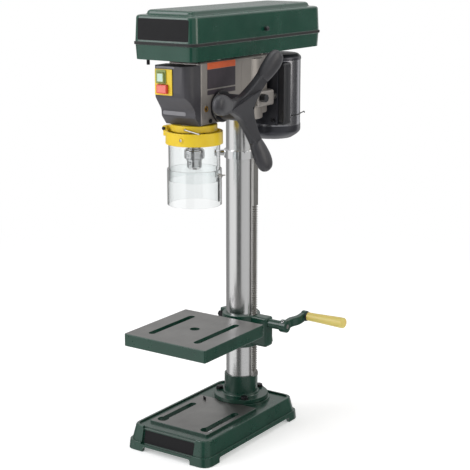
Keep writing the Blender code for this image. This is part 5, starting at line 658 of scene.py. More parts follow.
def dress_base():
    """The base casting: tapered box on a skirt, machined pad, keyhole slots, hollow beneath."""
    base = slab("base_casting", rectangle((-0.0965, -0.2554), (0.0965, 0.0716), 0.022), 0, 0.018,
                0.0008, top=(0.984, 0.991), shift=(0, -0.0008))
    upper = slab("base_upper", rectangle((-0.0935, -0.2524), (0.0935, 0.0686), 0.021), 0.009, 0.047,
                 0.0016, top=(0.9305, 0.943925), shift=(0, -0.004753))
    fuse(base, upper)
    carve(base, slab("deck_cut", rectangle((-0.082, -0.238), (0.082, 0.055), 0.016), 0.044, 0.052,
                     0),
          slab("hollow", rectangle((-0.0905, -0.2494), (0.0905, 0.0656), 0.020), -0.004, 0.038,
               0.002, top=(0.895, 0.924), shift=(0, -0.0066)))
    fuse(base, slab("pad", rectangle((-0.068, -0.214), (0.068, -0.045), 0.003), 0.041, 0.0485,
                    0.0009),
         lathe("flange_seat", ((0, 0.041), (0.058, 0.041), (0.058, 0.0485), (0, 0.0485)), sides=128,
               ease=0.0009))
    cuts = [slab(f"keyhole_{s}", slot_line((s * 0.051, -0.097), (s * 0.051, -0.194), 0.0138, 0.0112),
                 0.034, 0.054, 0) for s in (-1, 1)]
    cuts.append(block("front_gap", (-0.056, -0.27, -0.01), (0.056, 0.09, 0.010), 0.0045))
    cuts.append(block("side_gap", (-0.12, -0.214, -0.01), (0.12, 0.033, 0.010), 0.0045))
    front = Vector((0, -0.9707, 0.2401))
    place = Vector((0, -0.2477, 0.028))
    cuts.append(slab("front_panel", rectangle((-0.0605, -0.0145), (0.0605, 0.0145), 0.002, 4),
                     -0.004, 0.01, 0.0005, place, front, X))
    cuts.append(block("rim_gap", (-0.062, -0.27, 0.0425), (0.062, -0.236, 0.06), 0.0006))
    cuts += [bar(f"bolt_hole_{a}", place_round(0.047, a, 0.03), place_round(0.047, a, 0.06), 0.0043,
                 0, 24) for a in (-48, 72, 192)]
    carve(base, *cuts)
    ease_edges(base, 0.0006, 40, 2)
    finish(base, "machine", CAST_ENAMEL, "cast_iron_paint", "base", crease=32, inlaid=(
        GROUND_IRON, lambda c, n: n.z > 0.98 and c.z > 0.0482 and c.y < -0.0446))
    finish(slab("base_plate", rectangle((-0.0580, -0.0120), (0.0580, 0.0120), 0.002), 0, 0.0006,
                0.0002, place - front * 0.0041, front, X),
           "machine", BLACK_FILM, "cast_iron_paint")
    finish(gather("leveller", bar("leveller_stem", (-0.047, -0.062, 0.043), (-0.047, -0.062, 0.052),
                                  0.0024, 0.0004, 24),
                  slab("leveller_wing", eased([(-0.0055, 0), (0.0055, 0), (0.0065, 0.007),
                                               (-0.0065, 0.007)], 0.002, True), -0.0007, 0.0007,
                       0.0003, (-0.047, -0.062, 0.047), (-0.6, -1, 0), (1, -0.6, 0))),
           "machine", BLACK_OXIDE, "bright_steel")


def dress_column():
    """The flange with its bolts and set screw, the tube, the ring over the rack."""
    flange = lathe("flange_casting", (
        (0.0303, 0.098), (0.0335, 0.098), (0.0335, 0.0618, 0.0008), (0.036, 0.0618),
        (0.0365, 0.0568, 0.003), (0.0545, 0.0568, 0.0012), (0.0545, 0.0488), (0.0303, 0.0488)),
        sides=128, ease=0.0008, closed=True)
    carve(flange, *[bar(f"flange_hole_{a}", place_round(0.047, a, 0.04), place_round(0.047, a, 0.07),
                        0.0043, 0, 24) for a in (-48, 72, 192)])
    finish(flange, "machine", CAST_ENAMEL, "cast_iron_paint", "column_flange", crease=32)
    for index, angle in enumerate((-48, 72, 192)):
        finish(hex_bolt(f"foot_bolt_{index + 1}", place_round(0.047, angle, 0.0571), Z, 0.013,
                        0.0048, 0.004, 0.016, 0.0007),
               "machine", BLACK_OXIDE, "bright_steel", f"flange_bolt_{index + 1}", crease=25)
    finish(tube("column_tube", 0.027, 0.030, 0.0488, 0.735, sides=160, ease=0.0007),
           "machine", CHROME_TUBE, "chrome", "column")
    ring = lathe("rack_retainer", ((0.0303, 0.540), (0.0335, 0.540), (0.0335, 0.5565),
                                   (0.0303, 0.5565)), sides=128, ease=0.0009, closed=True)
    ear_start, ear_end = place_round(0.0315, 207, 0.54825), place_round(0.0418, 207, 0.54825)
    fuse(ring, bar("retainer_ear", ear_start, ear_end, 0.0065, 0.0009, 40))
    carve(ring, bar("retainer_hole", ear_start, ear_end + (ear_end - ear_start), 0.0034, 0, 32))
    finish(ring, "machine", CHROME, "bright_steel", "rack_ring", crease=32)
    finish(socket_screw("retainer_screw", ear_end - (ear_end - ear_start) * 0.1,
                        ear_end - ear_start, 0.003, 0.006, 0.003), "machine", BLACK_OXIDE,
           "bright_steel")
    paint(BRIGHT_STEEL, "rack")


dress_base()
dress_column()


# The table lift

RACK_OUT = Vector((0.994522, -0.104528, 0))
GEAR = RACK_OUT * 0.0509 + Z * 0.1919
GEAR_AXIS = Vector((0.104528, 0.994522, 0))
CRANK = Vector((0, -0.003, 0.21404))
GRIP = Vector((0, 0.057, 0.222))
CLAMP_OUT = place_round(1, 165)
CLAMP_WAY = Vector((CLAMP_OUT.y, -CLAMP_OUT.x, 0))
CLAMP = CLAMP_OUT * 0.045 + Z * 0.2135


def dress_bracket():
    """The table bracket: split collar with clamp ears, gearbox, shaft boss, arm and tilt disc."""
    body = lathe("bracket_casting", ((0, 0.161), (0.038, 0.161), (0.038, 0.226), (0, 0.226)),
                 sides=128, ease=0.0022)
    fuse(body, block("gearbox", (0.012, -0.016, 0.166), (0.070, 0.010, 0.226), 0.0042),
         bar("shaft_boss", CRANK + X * 0.062, CRANK + X * 0.097, 0.009, 0.001, 64),
         block("arm", (-0.020, -0.0480, 0.168), (0.020, 0, 0.212), 0.005),
         bar("tilt_disc", (0, -0.052, 0.190), (0, -0.044, 0.190), 0.024, 0.001, 96),
         block("clamp_ears", (0.026, -0.012, 0.201), (0.052, 0.012, 0.226), 0.003, (0, 0, 0), Z,
               CLAMP_OUT),
         slab("gearbox_rib", [(0.030, 0.172), (0.068, 0.172), (0.066, 0.186), (0.034, 0.205)], -0.003,
              0.003, 0.0012, (0, 0.0105, 0), (0, -1, 0), X))
    ease_edges(body, 0.0014, 40, 3)
    carve(body, bar("bore", (0, 0, 0.15), (0, 0, 0.24), 0.0303, 0, 160),
          block("groove", (0.015, -0.0073, 0.15), (0.0373, 0.0073, 0.24), 0, (0, 0, 0), Z, RACK_OUT),
          block("slit", (0.015, -0.00125, 0.15), (0.06, 0.00125, 0.24), 0, (0, 0, 0), Z, CLAMP_OUT),
          bar("gear_room", GEAR - GEAR_AXIS * 0.0064, GEAR + GEAR_AXIS * 0.0064, 0.0172, 0, 64),
          bar("worm_room", CRANK + X * 0.034, CRANK + X * 0.068, 0.0088, 0, 48),
          bar("shaft_hole", CRANK + X * 0.060, CRANK + X * 0.105, 0.0048, 0, 48),
          bar("pin_hole", GEAR - GEAR_AXIS * 0.018, GEAR + GEAR_AXIS * 0.0123, 0.0043, 0, 32),
          bar("clamp_hole", CLAMP - CLAMP_WAY * 0.02, CLAMP + CLAMP_WAY * 0.02, 0.0043, 0, 32),
          bar("tilt_hole", (0, -0.06, 0.190), (0, -0.0377, 0.190), 0.0063, 0, 32))
    finish(body, "table_arm", CAST_ENAMEL, "cast_iron_paint", "table_bracket", crease=32)
    finish(bar("gear_axle", GEAR - GEAR_AXIS * 0.0103, GEAR + GEAR_AXIS * 0.012, 0.004, 0.0006, 32),
           "table_arm", BRIGHT_STEEL, "bright_steel", "gear_pin")
    finish(hex_bolt("tilt_screw", (0, -0.0703, 0.190), (0, -1, 0), 0.019, 0.0062, 0.006, 0.0323,
                    0.0013), "table_arm", BLACK_OXIDE, "bright_steel", "tilt_bolt", crease=25)
    finish(gather("tilt_scale", *[
        block(f"tick_{k}", (-0.0001, 0.0222 - (0.0022 if k % 3 == 0 else 0.0014), -0.00018),
              (0.0001, 0.0234, 0.00018), 0, (0, -0.0479, 0.190), (0, 1, 0),
              (math.cos(math.radians(k * 5)), 0, math.sin(math.radians(k * 5))))
        for k in range(-9, 10)]), "table_arm", WHITE_ABS, "cast_iron_paint")
    paint(BRIGHT_STEEL, "elevating_gear")


def dress_clamp():
    """The column clamp: hexagon head, threaded stem, a sliding bar with ball ends."""
    centre = CLAMP + CLAMP_WAY * 0.038
    stem = bar("clamp_stem", CLAMP - CLAMP_WAY * 0.0150, CLAMP + CLAMP_WAY * 0.0385, 0.004, 0.0004,
               32)
    parts = [stem, slab("clamp_hexagon", hexagon(0.013), 0.0123, 0.0178, 0.0005, CLAMP,
                        -CLAMP_WAY),
             bar("clamp_neck", CLAMP + CLAMP_WAY * 0.0123, CLAMP + CLAMP_WAY * 0.044, 0.006, 0.0012,
                 48),
             bar("clamp_bar", centre - Z * 0.023, centre + Z * 0.023, 0.003, 0.0004, 32)]
    for side in (-1, 1):
        ball = [(0, -0.0042)] + [(0.0042 * math.sin(a), -0.0042 * math.cos(a)) for a in
                                 (math.pi * k / 12 for k in range(1, 12))] + [(0, 0.0042)]
        parts.append(lathe(f"clamp_ball_{side}", ball, centre + Z * (side * 0.0218), Z, 32, 0))
    finish(gather("clamp_handle", *parts), "clamp", BLACK_OXIDE, "bright_steel", "clamp_lever")


def dress_crank():
    """The crank: hub, S-shaped cast arm, eye, black collar and a turned yellow grip."""
    way = (GRIP - CRANK).normalized()
    reach = (GRIP - CRANK).length
    inner = [(0.1000, -0.002), (0.1000, 0.018), (0.1012, 0.026, 0.010), (0.1092, 0.038, 0.012),
             (0.1095, reach)]
    outer = [(0.1185, reach), (0.1185, 0.034, 0.012), (0.1100, 0.020, 0.010), (0.1093, 0.010),
             (0.1093, -0.002)]
    arm = slab("crank_casting", eased(inner + outer, 0.001, True, 6), -0.0085, 0.0085, 0.0034, CRANK,
               X.cross(way), X)
    fuse(arm, bar("crank_hub", CRANK + X * 0.0973, CRANK + X * 0.112, 0.0125, 0.0016, 96),
         bar("crank_eye", GRIP + X * 0.1095, GRIP + X * 0.1198, 0.0105, 0.0014, 96))
    ease_edges(arm, 0.0012, 40, 3)
    screw_way = Vector((0, -0.6, 0.8))
    carve(arm, bar("crank_bore", CRANK + X * 0.09, CRANK + X * 0.12, 0.0048, 0, 48),
          bar("eye_bore", GRIP + X * 0.10, GRIP + X * 0.13, 0.0038, 0, 48),
          bar("screw_bore", CRANK + X * 0.10465 + screw_way * 0.003,
              CRANK + X * 0.10465 + screw_way * 0.02, 0.0033, 0, 32))
    finish(arm, "crank", CAST_ENAMEL, "cast_iron_paint", "crank_arm", crease=32)
    finish(socket_screw("crank_screw", CRANK + X * 0.10465 + screw_way * 0.0122, screw_way, 0.0030,
                        0.0074, 0.0028, 0.0023), "crank", CHROME, "bright_steel",
           "crank_set_screw")
    pin = bar("grip_axle", GRIP + X * 0.1095, GRIP + X * 0.2022, 0.0035, 0.0005, 32)
    finish(gather("grip_axle_set", pin, tube("grip_washer", 0.0035, 0.0095, 0.1201, 0.1222, GRIP, X,
                                             64, 0.0007)),
           "crank", BLACK_ABS, "black_plastic", "grip_pin")
    grip = lathe("turned_grip", (
        (0, 0.2065), (0.0070, 0.2065, 0.002), (0.0104, 0.2040, 0.0025), (0.0105, 0.196, 0.006),
        (0.0086, 0.140, 0.02), (0.0085, 0.1225, 0.0010), (0.0038, 0.1225), (0.0038, 0.2025),
        (0, 0.2025)), GRIP, X, 96, 0.0008)
    finish(grip, "crank_handle", YELLOW_PVC, "yellow_plastic", "crank_grip")
    paint(BRIGHT_STEEL, "crank_shaft")


def dress_table():
    """The square table: ground top, two through slots, centre hole, ribs and tilt boss below."""
    table = slab("table_casting", rectangle((-0.094, -0.2563), (0.094, -0.0603), 0.004), 0.2055,
                 0.230, 0.0014)
    carve(table, slab("table_hollow", rectangle((-0.087, -0.2493), (0.087, -0.070), 0.007), 0.19,
                      0.222, 0))
    fuse(table, bar("tilt_boss", (0, -0.070, 0.190), (0, -0.0523, 0.190), 0.026, 0.0012, 96),
         block("boss_web", (-0.026, -0.0695, 0.196), (0.026, -0.0608, 0.224), 0.001),
         block("rib_across", (-0.088, -0.1625, 0.209), (0.088, -0.1565, 0.223), 0.001),
         block("rib_along", (-0.003, -0.250, 0.209), (0.003, -0.066, 0.223), 0.001))
    cuts = [slab(f"table_slot_{s}", slot_line((s * 0.0525, -0.097), (s * 0.0525, -0.223), 0.0135),
                 0.19, 0.24, 0) for s in (-1, 1)]
    cuts.append(bar("table_hole", (0, -0.1583, 0.19), (0, -0.1583, 0.24), 0.0095, 0, 64))
    cuts.append(bar("boss_hole", (0, -0.08, 0.190), (0, -0.05, 0.190), 0.0063, 0, 32))
    carve(table, *cuts)
    ease_edges(table, 0.0006, 40, 2)
    finish(table, "work_table", CAST_ENAMEL, "machined_iron", "table", crease=32, inlaid=(
        GROUND_IRON, lambda c, n: n.z > 0.98 and c.z > 0.2297))


dress_bracket()
dress_clamp()
dress_crank()
dress_table()


# Repeats along a row or round a ring, as Geometry Nodes

def repeat_tree(name, ring):
    """Copies of an item along a line, or round a ring facing outwards, as one mesh."""
    tree = bpy.data.node_groups.new(name, "GeometryNodeTree")
    face = tree.interface
    face.new_socket("Geometry", in_out="OUTPUT", socket_type="NodeSocketGeometry")
    for label, kind in (("Item", "NodeSocketObject"), ("Count", "NodeSocketInt"),
                        ("Radius", "NodeSocketFloat"), ("Step", "NodeSocketVector"),
                        ("Finish", "NodeSocketMaterial")):
        face.new_socket(label, in_out="INPUT", socket_type=kind)

    def node(kind, links=None, **settings):
        made = tree.nodes.new(kind)
        for key, value in settings.items():
            setattr(made, key, value)
        for key, source in (links or {}).items():
            tree.links.new(source, made.inputs[key])
        return made

    given = node("NodeGroupInput").outputs
    item = node("GeometryNodeObjectInfo", {"Object": given["Item"]})
    links = {"Instance": item.outputs["Geometry"]}
    if ring:
        spread = node("GeometryNodeMeshCircle", {"Vertices": given["Count"],
                                                 "Radius": given["Radius"]})
        facing = node("FunctionNodeAlignEulerToVector",
                      {"Vector": node("GeometryNodeInputPosition").outputs[0]}, axis="X",
                      pivot_axis="Z")
        links["Rotation"] = facing.outputs[0]
    else:
        spread = node("GeometryNodeMeshLine", {"Count": given["Count"], "Offset": given["Step"]},
                      mode="OFFSET")
    copies = node("GeometryNodeInstanceOnPoints", {"Points": spread.outputs["Mesh"], **links})
    solid = node("GeometryNodeRealizeInstances", {"Geometry": copies.outputs[0]})
    dressed = node("GeometryNodeSetMaterial", {"Geometry": solid.outputs[0],
                                               "Material": given["Finish"]})
    node("NodeGroupOutput", {"Geometry": dressed.outputs[0]})
    return tree


ROW, RING = repeat_tree("row_of_items", False), repeat_tree("ring_of_items", True)


def repeat(name, item, count, material, radius=0.0, step=(0, 0, 0), at=(0, 0, 0), along=None,
           side=None):
    """A row or a ring of an item, made a plain mesh and moved to its place."""
    host = bpy.data.objects.new(name + "_host", bpy.data.meshes.new(name + "_host"))
    bpy.context.scene.collection.objects.link(host)
    spread = host.modifiers.new("repeat", "NODES")
    spread.node_group = RING if radius else ROW
    values = {"Item": item, "Count": count, "Radius": radius, "Step": step, "Finish": material}
    for socket in spread.node_group.interface.items_tree:
        if socket.in_out == "INPUT":
            spread[socket.identifier] = values[socket.name]
    bpy.context.view_layer.update()
    mesh = bpy.data.meshes.new_from_object(
        host.evaluated_get(bpy.context.evaluated_depsgraph_get()))
    bm = bmesh.new()
    bm.from_mesh(mesh)
    bpy.data.objects.remove(host)
    bpy.data.objects.remove(item)
    return shape(name, bm, at, along, side)


# The head

def dress_head():
    """The head casting: rounded box, quill and column bosses, slide blocks, pads and bores."""
    head = block("head_box", (-0.036, -0.184, 0.626), (0.036, 0.038, 0.740), 0.0042)
    fuse(head, lathe("quill_boss", ((0, 0.610), (0.030, 0.610), (0.030, 0.634), (0, 0.634)), SPINDLE,
                     sides=96, ease=0.001),
         lathe("column_boss", ((0, 0.618), (0.041, 0.618), (0.041, 0.734), (0, 0.734)), sides=128,
               ease=0.002),
         block("slide_blocks", (-0.054, -0.024, 0.643), (0.054, 0.034, 0.673), 0.004),
         bar("oiler_boss", (0.030, -0.168, 0.655), (0.0366, -0.168, 0.655), 0.0075, 0.0006, 64),
         block("side_ledge", (0.030, -0.1835, 0.6265), (0.0366, -0.052, 0.6295), 0.0008))
    for y in (-0.120, 0.022):
        fuse(head, *[bar(f"pad_{s}_{y}", (s * 0.027, y, 0.736), (s * 0.027, y, 0.7457), 0.007, 0.0006,
                         48) for s in (-1, 1)])
    ease_edges(head, 0.0009, 45, 2)
    cuts = [bar("quill_bore", SPINDLE + Z * 0.60, SPINDLE + Z * 0.75, 0.0203, 0, 96),
            bar("column_bore", (0, 0, 0.60), (0, 0, 0.7353), 0.0303, 0, 160),
            block("head_cavity", (-0.030, -0.108, 0.640), (0.030, -0.056, 0.75), 0),
            bar("idler_hole", (0.022, -0.047, 0.72), (0.022, -0.047, 0.75), 0.0063, 0, 32),
            bar("feed_bore", FEED - X * 0.06, FEED + X * 0.06, 0.0123, 0, 64),
            bar("knob_bore", (0.044, -0.012, 0.6605), (0.06, -0.012, 0.6605), 0.0033, 0, 32),
            bar("head_screw_bore", place_round(0.0285, 28, 0.700), place_round(0.05, 28, 0.700),
                0.0033, 0, 32),
            bar("guide_bore", SPINDLE + X * 0.0175 + Z * 0.632, SPINDLE + X * 0.05 + Z * 0.632,
                0.0025, 0, 32),
            block("side_seam", (0.0357, -0.0525, 0.6306), (0.04, -0.0519, 0.7362), 0)]
    cuts += [bar(f"slide_bore_{s}", (s * 0.0445, -0.03, 0.658), (s * 0.0445, 0.05, 0.658), 0.0073, 0,
                 48) for s in (-1, 1)]
    carve(head, *cuts)
    finish(head, "machine", SILVER_PAINT, "silver_iron", "head_casting", crease=32)
    finish(tube("oiler", 0.0027, 0.0056, 0.0360, 0.0378, (0, -0.168, 0.655), X, 48, 0.0006),
           "machine", BRASS, "bright_steel")
    finish(bar("oiler_ball", (0.0340, -0.168, 0.655), (0.0366, -0.168, 0.655), 0.0027, 0.0008, 32),
           "machine", BLACK_OXIDE, "bright_steel")
    finish(socket_screw("head_lock_screw", place_round(0.041, 28, 0.700), place_round(1, 28), 0.003,
                        0.0107, 0.003, 0.002), "machine", BLACK_OXIDE, "bright_steel",
           "head_set_screw")
    guide = SPINDLE + Z * 0.632
    finish(gather("guide_screw", bar("guide_stem", guide + X * 0.0178, guide + X * 0.037, 0.0022,
                                     0.0003, 24),
                  carve(bar("guide_cap", guide + X * 0.0363, guide + X * 0.0386, 0.004, 0.0006, 40),
                        block("guide_slot", (0.0378, -0.1604, 0.6316), (0.04, -0.1504, 0.6324),
                              0))), "machine", BLACK_OXIDE, "bright_steel", "quill_guide_screw")
    labels = ((-0.1635, -0.0740, 0.7258, 0.7375, ORANGE_FILM),
              (-0.1635, -0.0740, 0.6905, 0.7252, DARK_FILM),
              (-0.1635, -0.0740, 0.6795, 0.6880, DARK_FILM))
    for index, (front, rear, low, high, film) in enumerate(labels):
        finish(slab(f"side_label_{index}", rectangle((front, low), (rear, high), 0.0008, 4), 0.0360,
                    0.03635, 0.0001, (0, 0, 0), X, Y), "machine", film, "silver_iron")


def dress_spring_cap():
    """The return spring's housing on the left: a domed cap with a knurled edge."""
    cap = lathe("spring_housing", (
        (0, 0.0495), (0.0165, 0.0495, 0.002), (0.0213, 0.0468, 0.002), (0.0213, 0.0363),
        (0.0190, 0.0363), (0.0190, 0.0470), (0, 0.0470)), FEED, -X, 96, 0.0005)
    finish(cap, "machine", BLACK_ABS, "black_plastic", "return_spring_cap")
    ribs = repeat("spring_cap_ribs", block("cap_rib", (-0.0006, -0.0005, 0), (0.0005, 0.0005, 0.0086),
                                           0.0002), 48, BLACK_ABS, 0.0213, (0, 0, 0),
                  FEED - X * 0.0370, -X)
    finish(ribs, "machine", BLACK_ABS, "black_plastic")


def dress_knob():
    """The belt tension lock: a fluted knob on its screw."""
    place = Vector((0.0543, -0.012, 0.6605))
    outline = [((0.0076 + 0.0004 * math.cos(7 * a)) * math.cos(a),
                (0.0076 + 0.0004 * math.cos(7 * a)) * math.sin(a))
               for a in (math.tau * k / 84 for k in range(84))]
    knob = slab("fluted_knob", outline, 0, 0.0120, 0.0012, place, X, Y)
    finish(gather("tension_screw", knob, bar("tension_stem", place - X * 0.0027, place + X * 0.004,
                                             0.003, 0.0004, 24)), "knob", BLACK_ABS,
           "black_plastic", "tension_knob")


def arm_place(angle, radius, lean=0.032):
    """The middle of a handle's arm at a distance from the feed shaft."""
    a = math.radians(angle)
    return (FEED + X * (0.083 + lean * radius / 0.126)
            + Vector((0, math.cos(a), math.sin(a))) * radius)


def dress_handle():
    """The feed handle: turned hub, three dished arms in one web, and overmoulded grips."""
    widths = ((0.026, 0.0180), (0.036, 0.0150), (0.050, 0.0122), (0.066, 0.0110), (0.081, 0.0122))
    outline = []
    for angle in (-70, 50, 170):
        near, far = [], []
        for radius, half in widths:
            swing = math.asin(half / radius)
            for points, turn in ((near, -swing), (far, swing)):
                a = math.radians(angle) + turn
                points.append((radius * math.cos(a), radius * math.sin(a), 0.012))
        outline += near + far[::-1]
    web = slab("handle_web", eased(outline, 0.01, True, 5), 0.074, 0.092, 0.0036, FEED, X, Y)
    for vert in web.data.vertices:
        vert.co.x += 0.032 * math.hypot(vert.co.y - FEED.y, vert.co.z - FEED.z) / 0.126
    hub = lathe("handle_hub", (
        (0, 0.0955), (0.0115, 0.0955, 0.003), (0.0150, 0.0915, 0.004), (0.0240, 0.085, 0.005),
        (0.0240, 0.0475, 0.0020), (0.0210, 0.0463), (0, 0.0463)), FEED, X, 128, 0.0008)
    fuse(web, hub)
    carve(web, bar("handle_bore", FEED + X * 0.04, FEED + X * 0.080, 0.0103, 0, 64),
          bar("handle_screw_hole", arm_place(-4, 0.021) - X * 0.004, arm_place(-4, 0.021) + X * 0.02,
              0.0021, 0, 32))
    ease_edges(web, 0.0016, 30, 3)
    finish(web, "feed", NYLON, "black_plastic", "star_handle", crease=30)
    sections = ((0.0655, 0.0116, 0.0085), (0.0675, 0.0132, 0.0100), (0.0740, 0.0152, 0.0112),
                (0.0850, 0.0174, 0.0118), (0.0970, 0.0190, 0.0120), (0.1070, 0.0190, 0.0118),
                (0.1150, 0.0172, 0.0108), (0.1210, 0.0138, 0.0090), (0.1246, 0.0090, 0.0062),
                (0.1258, 0.0040, 0.0028))
    for index, angle in enumerate((50, 170, -70)):
        a = math.radians(angle)
        across = Vector((0, -math.sin(a), math.cos(a)))
        radial = (arm_place(angle, 0.126) - arm_place(angle, 0.06)).normalized()
        normal = radial.cross(across)
        bm = bmesh.new()
        rings = []
        for radius, half, thick in sections:
            middle = arm_place(angle, radius)
            rings.append([bm.verts.new(middle + across * half * math.copysign(
                abs(math.cos(t)) ** 0.86, math.cos(t)) + normal * thick * math.copysign(
                abs(math.sin(t)) ** 0.80, math.sin(t)))
                for t in (math.tau * k / 40 for k in range(40))])
        for low, high in zip(rings, rings[1:]):
            for k in range(40):
                bm.faces.new((low[k], low[(k + 1) % 40], high[(k + 1) % 40], high[k]))
        bm.faces.new(rings[0][::-1])
        bm.faces.new(rings[-1])
        bmesh.ops.recalc_face_normals(bm, faces=bm.faces)
        grip = shape(f"handle_grip_{index + 1}", bm)
        smooth = grip.modifiers.new("smooth", "SUBSURF")
        smooth.levels = smooth.render_levels = 1
        bake(grip)
        finish(grip, "feed", GRIP_RUBBER, "black_plastic", crease=50)
    paint(BRIGHT_STEEL, "feed_shaft")


def dress_depth_stop():
    """The depth stop: a black dial behind the handle with white graduations round its rim."""
    dial = tube("depth_dial", 0.0123, 0.029, 0.0365, 0.0455, FEED, X, 128, 0.0012)
    groove = tube("dial_groove", 0.0284, 0.031, 0.0385, 0.0389, FEED, X, 128, 0)
    finish(carve(dial, groove), "stop_disc", BLACK_ABS, "black_plastic", "depth_stop")
    marks = repeat("dial_marks", block("dial_mark", (-0.0004, -0.00016, -0.0014),
                                       (0.00012, 0.00016, 0.0014), 0), 60, WHITE_ABS, 0.0289,
                   (0, 0, 0), FEED + X * 0.0424, X)
    finish(marks, "stop_disc", WHITE_ABS, "black_plastic")


dress_head()
dress_spring_cap()
dress_knob()
dress_handle()
dress_depth_stop()


# The switch cover

def dress_switch():
    """The switch cover: stepped front, wide right corner, and the plate with its two buttons."""
    side = ((-0.1843, 0.735), (-0.222, 0.735, 0.003), (-0.222, 0.682, 0.006),
            (-0.201, 0.653, 0.005), (-0.201, 0.642, 0.004), (-0.187, 0.625, 0.002),
            (-0.1843, 0.625))
    cover = slab("cover_shell", eased(side, 0, True, 5), -0.040, 0.036, 0, (0, 0, 0), X, Y)
    plan = eased(((-0.040, -0.180), (-0.040, -0.222, 0.006), (0.036, -0.222, 0.034),
                  (0.036, -0.180)), 0, True, 18)
    combine(cover, "INTERSECT", [slab("cover_plan", plan, 0.60, 0.76, 0)])
    room = ((-0.180, 0.731), (-0.218, 0.731), (-0.218, 0.684), (-0.197, 0.655), (-0.197, 0.640),
            (-0.187, 0.629), (-0.180, 0.629))
    inner = slab("cover_room", room, -0.036, 0.032, 0, (0, 0, 0), X, Y)
    plan = eased(((-0.037, -0.176), (-0.037, -0.219), (0.033, -0.219, 0.031), (0.033, -0.176)), 0,
                 True, 12)
    combine(inner, "INTERSECT", [slab("room_plan", plan, 0.60, 0.76, 0)])
    carve(cover, inner, bar("cover_boss_room", SPINDLE + Z * 0.60, SPINDLE + Z * 0.6343, 0.0303, 0,
                            96),
          block("start_opening", (-0.0298, -0.23, 0.7048), (-0.0133, -0.2, 0.7232), 0),
          block("stop_opening", (-0.0302, -0.23, 0.6850), (-0.0067, -0.2, 0.7017), 0))
    ease_edges(cover, 0.0014, 40, 3)
    finish(cover, "machine", CHARCOAL_ABS, "black_plastic", "switch_cover", crease=50)
    finish(slab("cover_strip", rectangle((-0.0365, -0.0036), (0.0150, 0.0036), 0.0034, 6), 0,
                0.0005, 0.0002, (0, -0.2010, 0.6475), -Y, X), "machine", PALE_ABS_AND_PAINTED_HIGHLIGHT,
           "black_plastic")
    # A pale grey strip along the top of the cover's front: painted highlight, the light that the top
    # ledge catches.
    finish(slab("cover_top_strip", rectangle((-0.0350, -0.0020), (0.0060, 0.0020), 0.0018, 6), 0,
                0.0005, 0.0002, (0, -0.2219, 0.7320), -Y, X), "machine", PALE_ABS_AND_PAINTED_HIGHLIGHT,
           "black_plastic")
    panel = slab("switch_panel", rectangle((-0.037, 0.682), (0.0015, 0.729), 0.0018, 5), 0, 0.0015,
                 0.0005, (0, -0.2223, 0), -Y, X)
    carve(panel, block("start_window", (-0.0298, -0.23, 0.7048), (-0.0133, -0.2, 0.7232), 0),
          block("stop_window", (-0.0302, -0.23, 0.6850), (-0.0067, -0.2, 0.7017), 0))
    finish(panel, "machine", YELLOW_ABS, "yellow_plastic", "switch_plate")
    collar = slab("start_collar", rectangle((-0.0336, 0.7030), (-0.0112, 0.7275), 0.0022, 5), 0,
                  0.0022, 0.0006, (0, -0.2237, 0), -Y, X)
    carve(collar, block("collar_room", (-0.0298, -0.24, 0.7048), (-0.0133, -0.2, 0.7232), 0))
    finish(collar, "machine", OLIVE_ABS, "yellow_plastic")
    # Each button's pale face, laid on its cap, is painted highlight: the glare on the glossy cap.
    for name, body, low, high, proud, colour, painted_highlight in (
            ("start_button", "start", (-0.0294, 0.7052), (-0.0137, 0.7228), 0.0042, OLIVE_ABS,
             MINT_PAINTED_HIGHLIGHT),
            ("stop_button", "stop", (-0.0298, 0.6854), (-0.0071, 0.7013), 0.0050, RED_ABS,
             ROSE_PAINTED_HIGHLIGHT)):
        slot = "green_plastic" if body == "start" else "red_plastic"
        finish(slab(name + "_cap", rectangle(low, high, 0.0014, 5), -0.0040, proud + 0.0008,
                    0.0010, (0, -0.2238, 0), -Y, X), body, colour, slot, name)
        inset = 0.0018
        finish(slab(name + "_inlay", rectangle((low[0] + inset, low[1] + inset),
                                               (high[0] - inset, high[1] - inset), 0.001, 4),
                    proud + 0.0004, proud + 0.0010, 0.0002, (0, -0.2238, 0), -Y, X), body, painted_highlight,
               slot)


# The chuck guard

HINGE = Vector((-0.052, -0.166, 0.614))


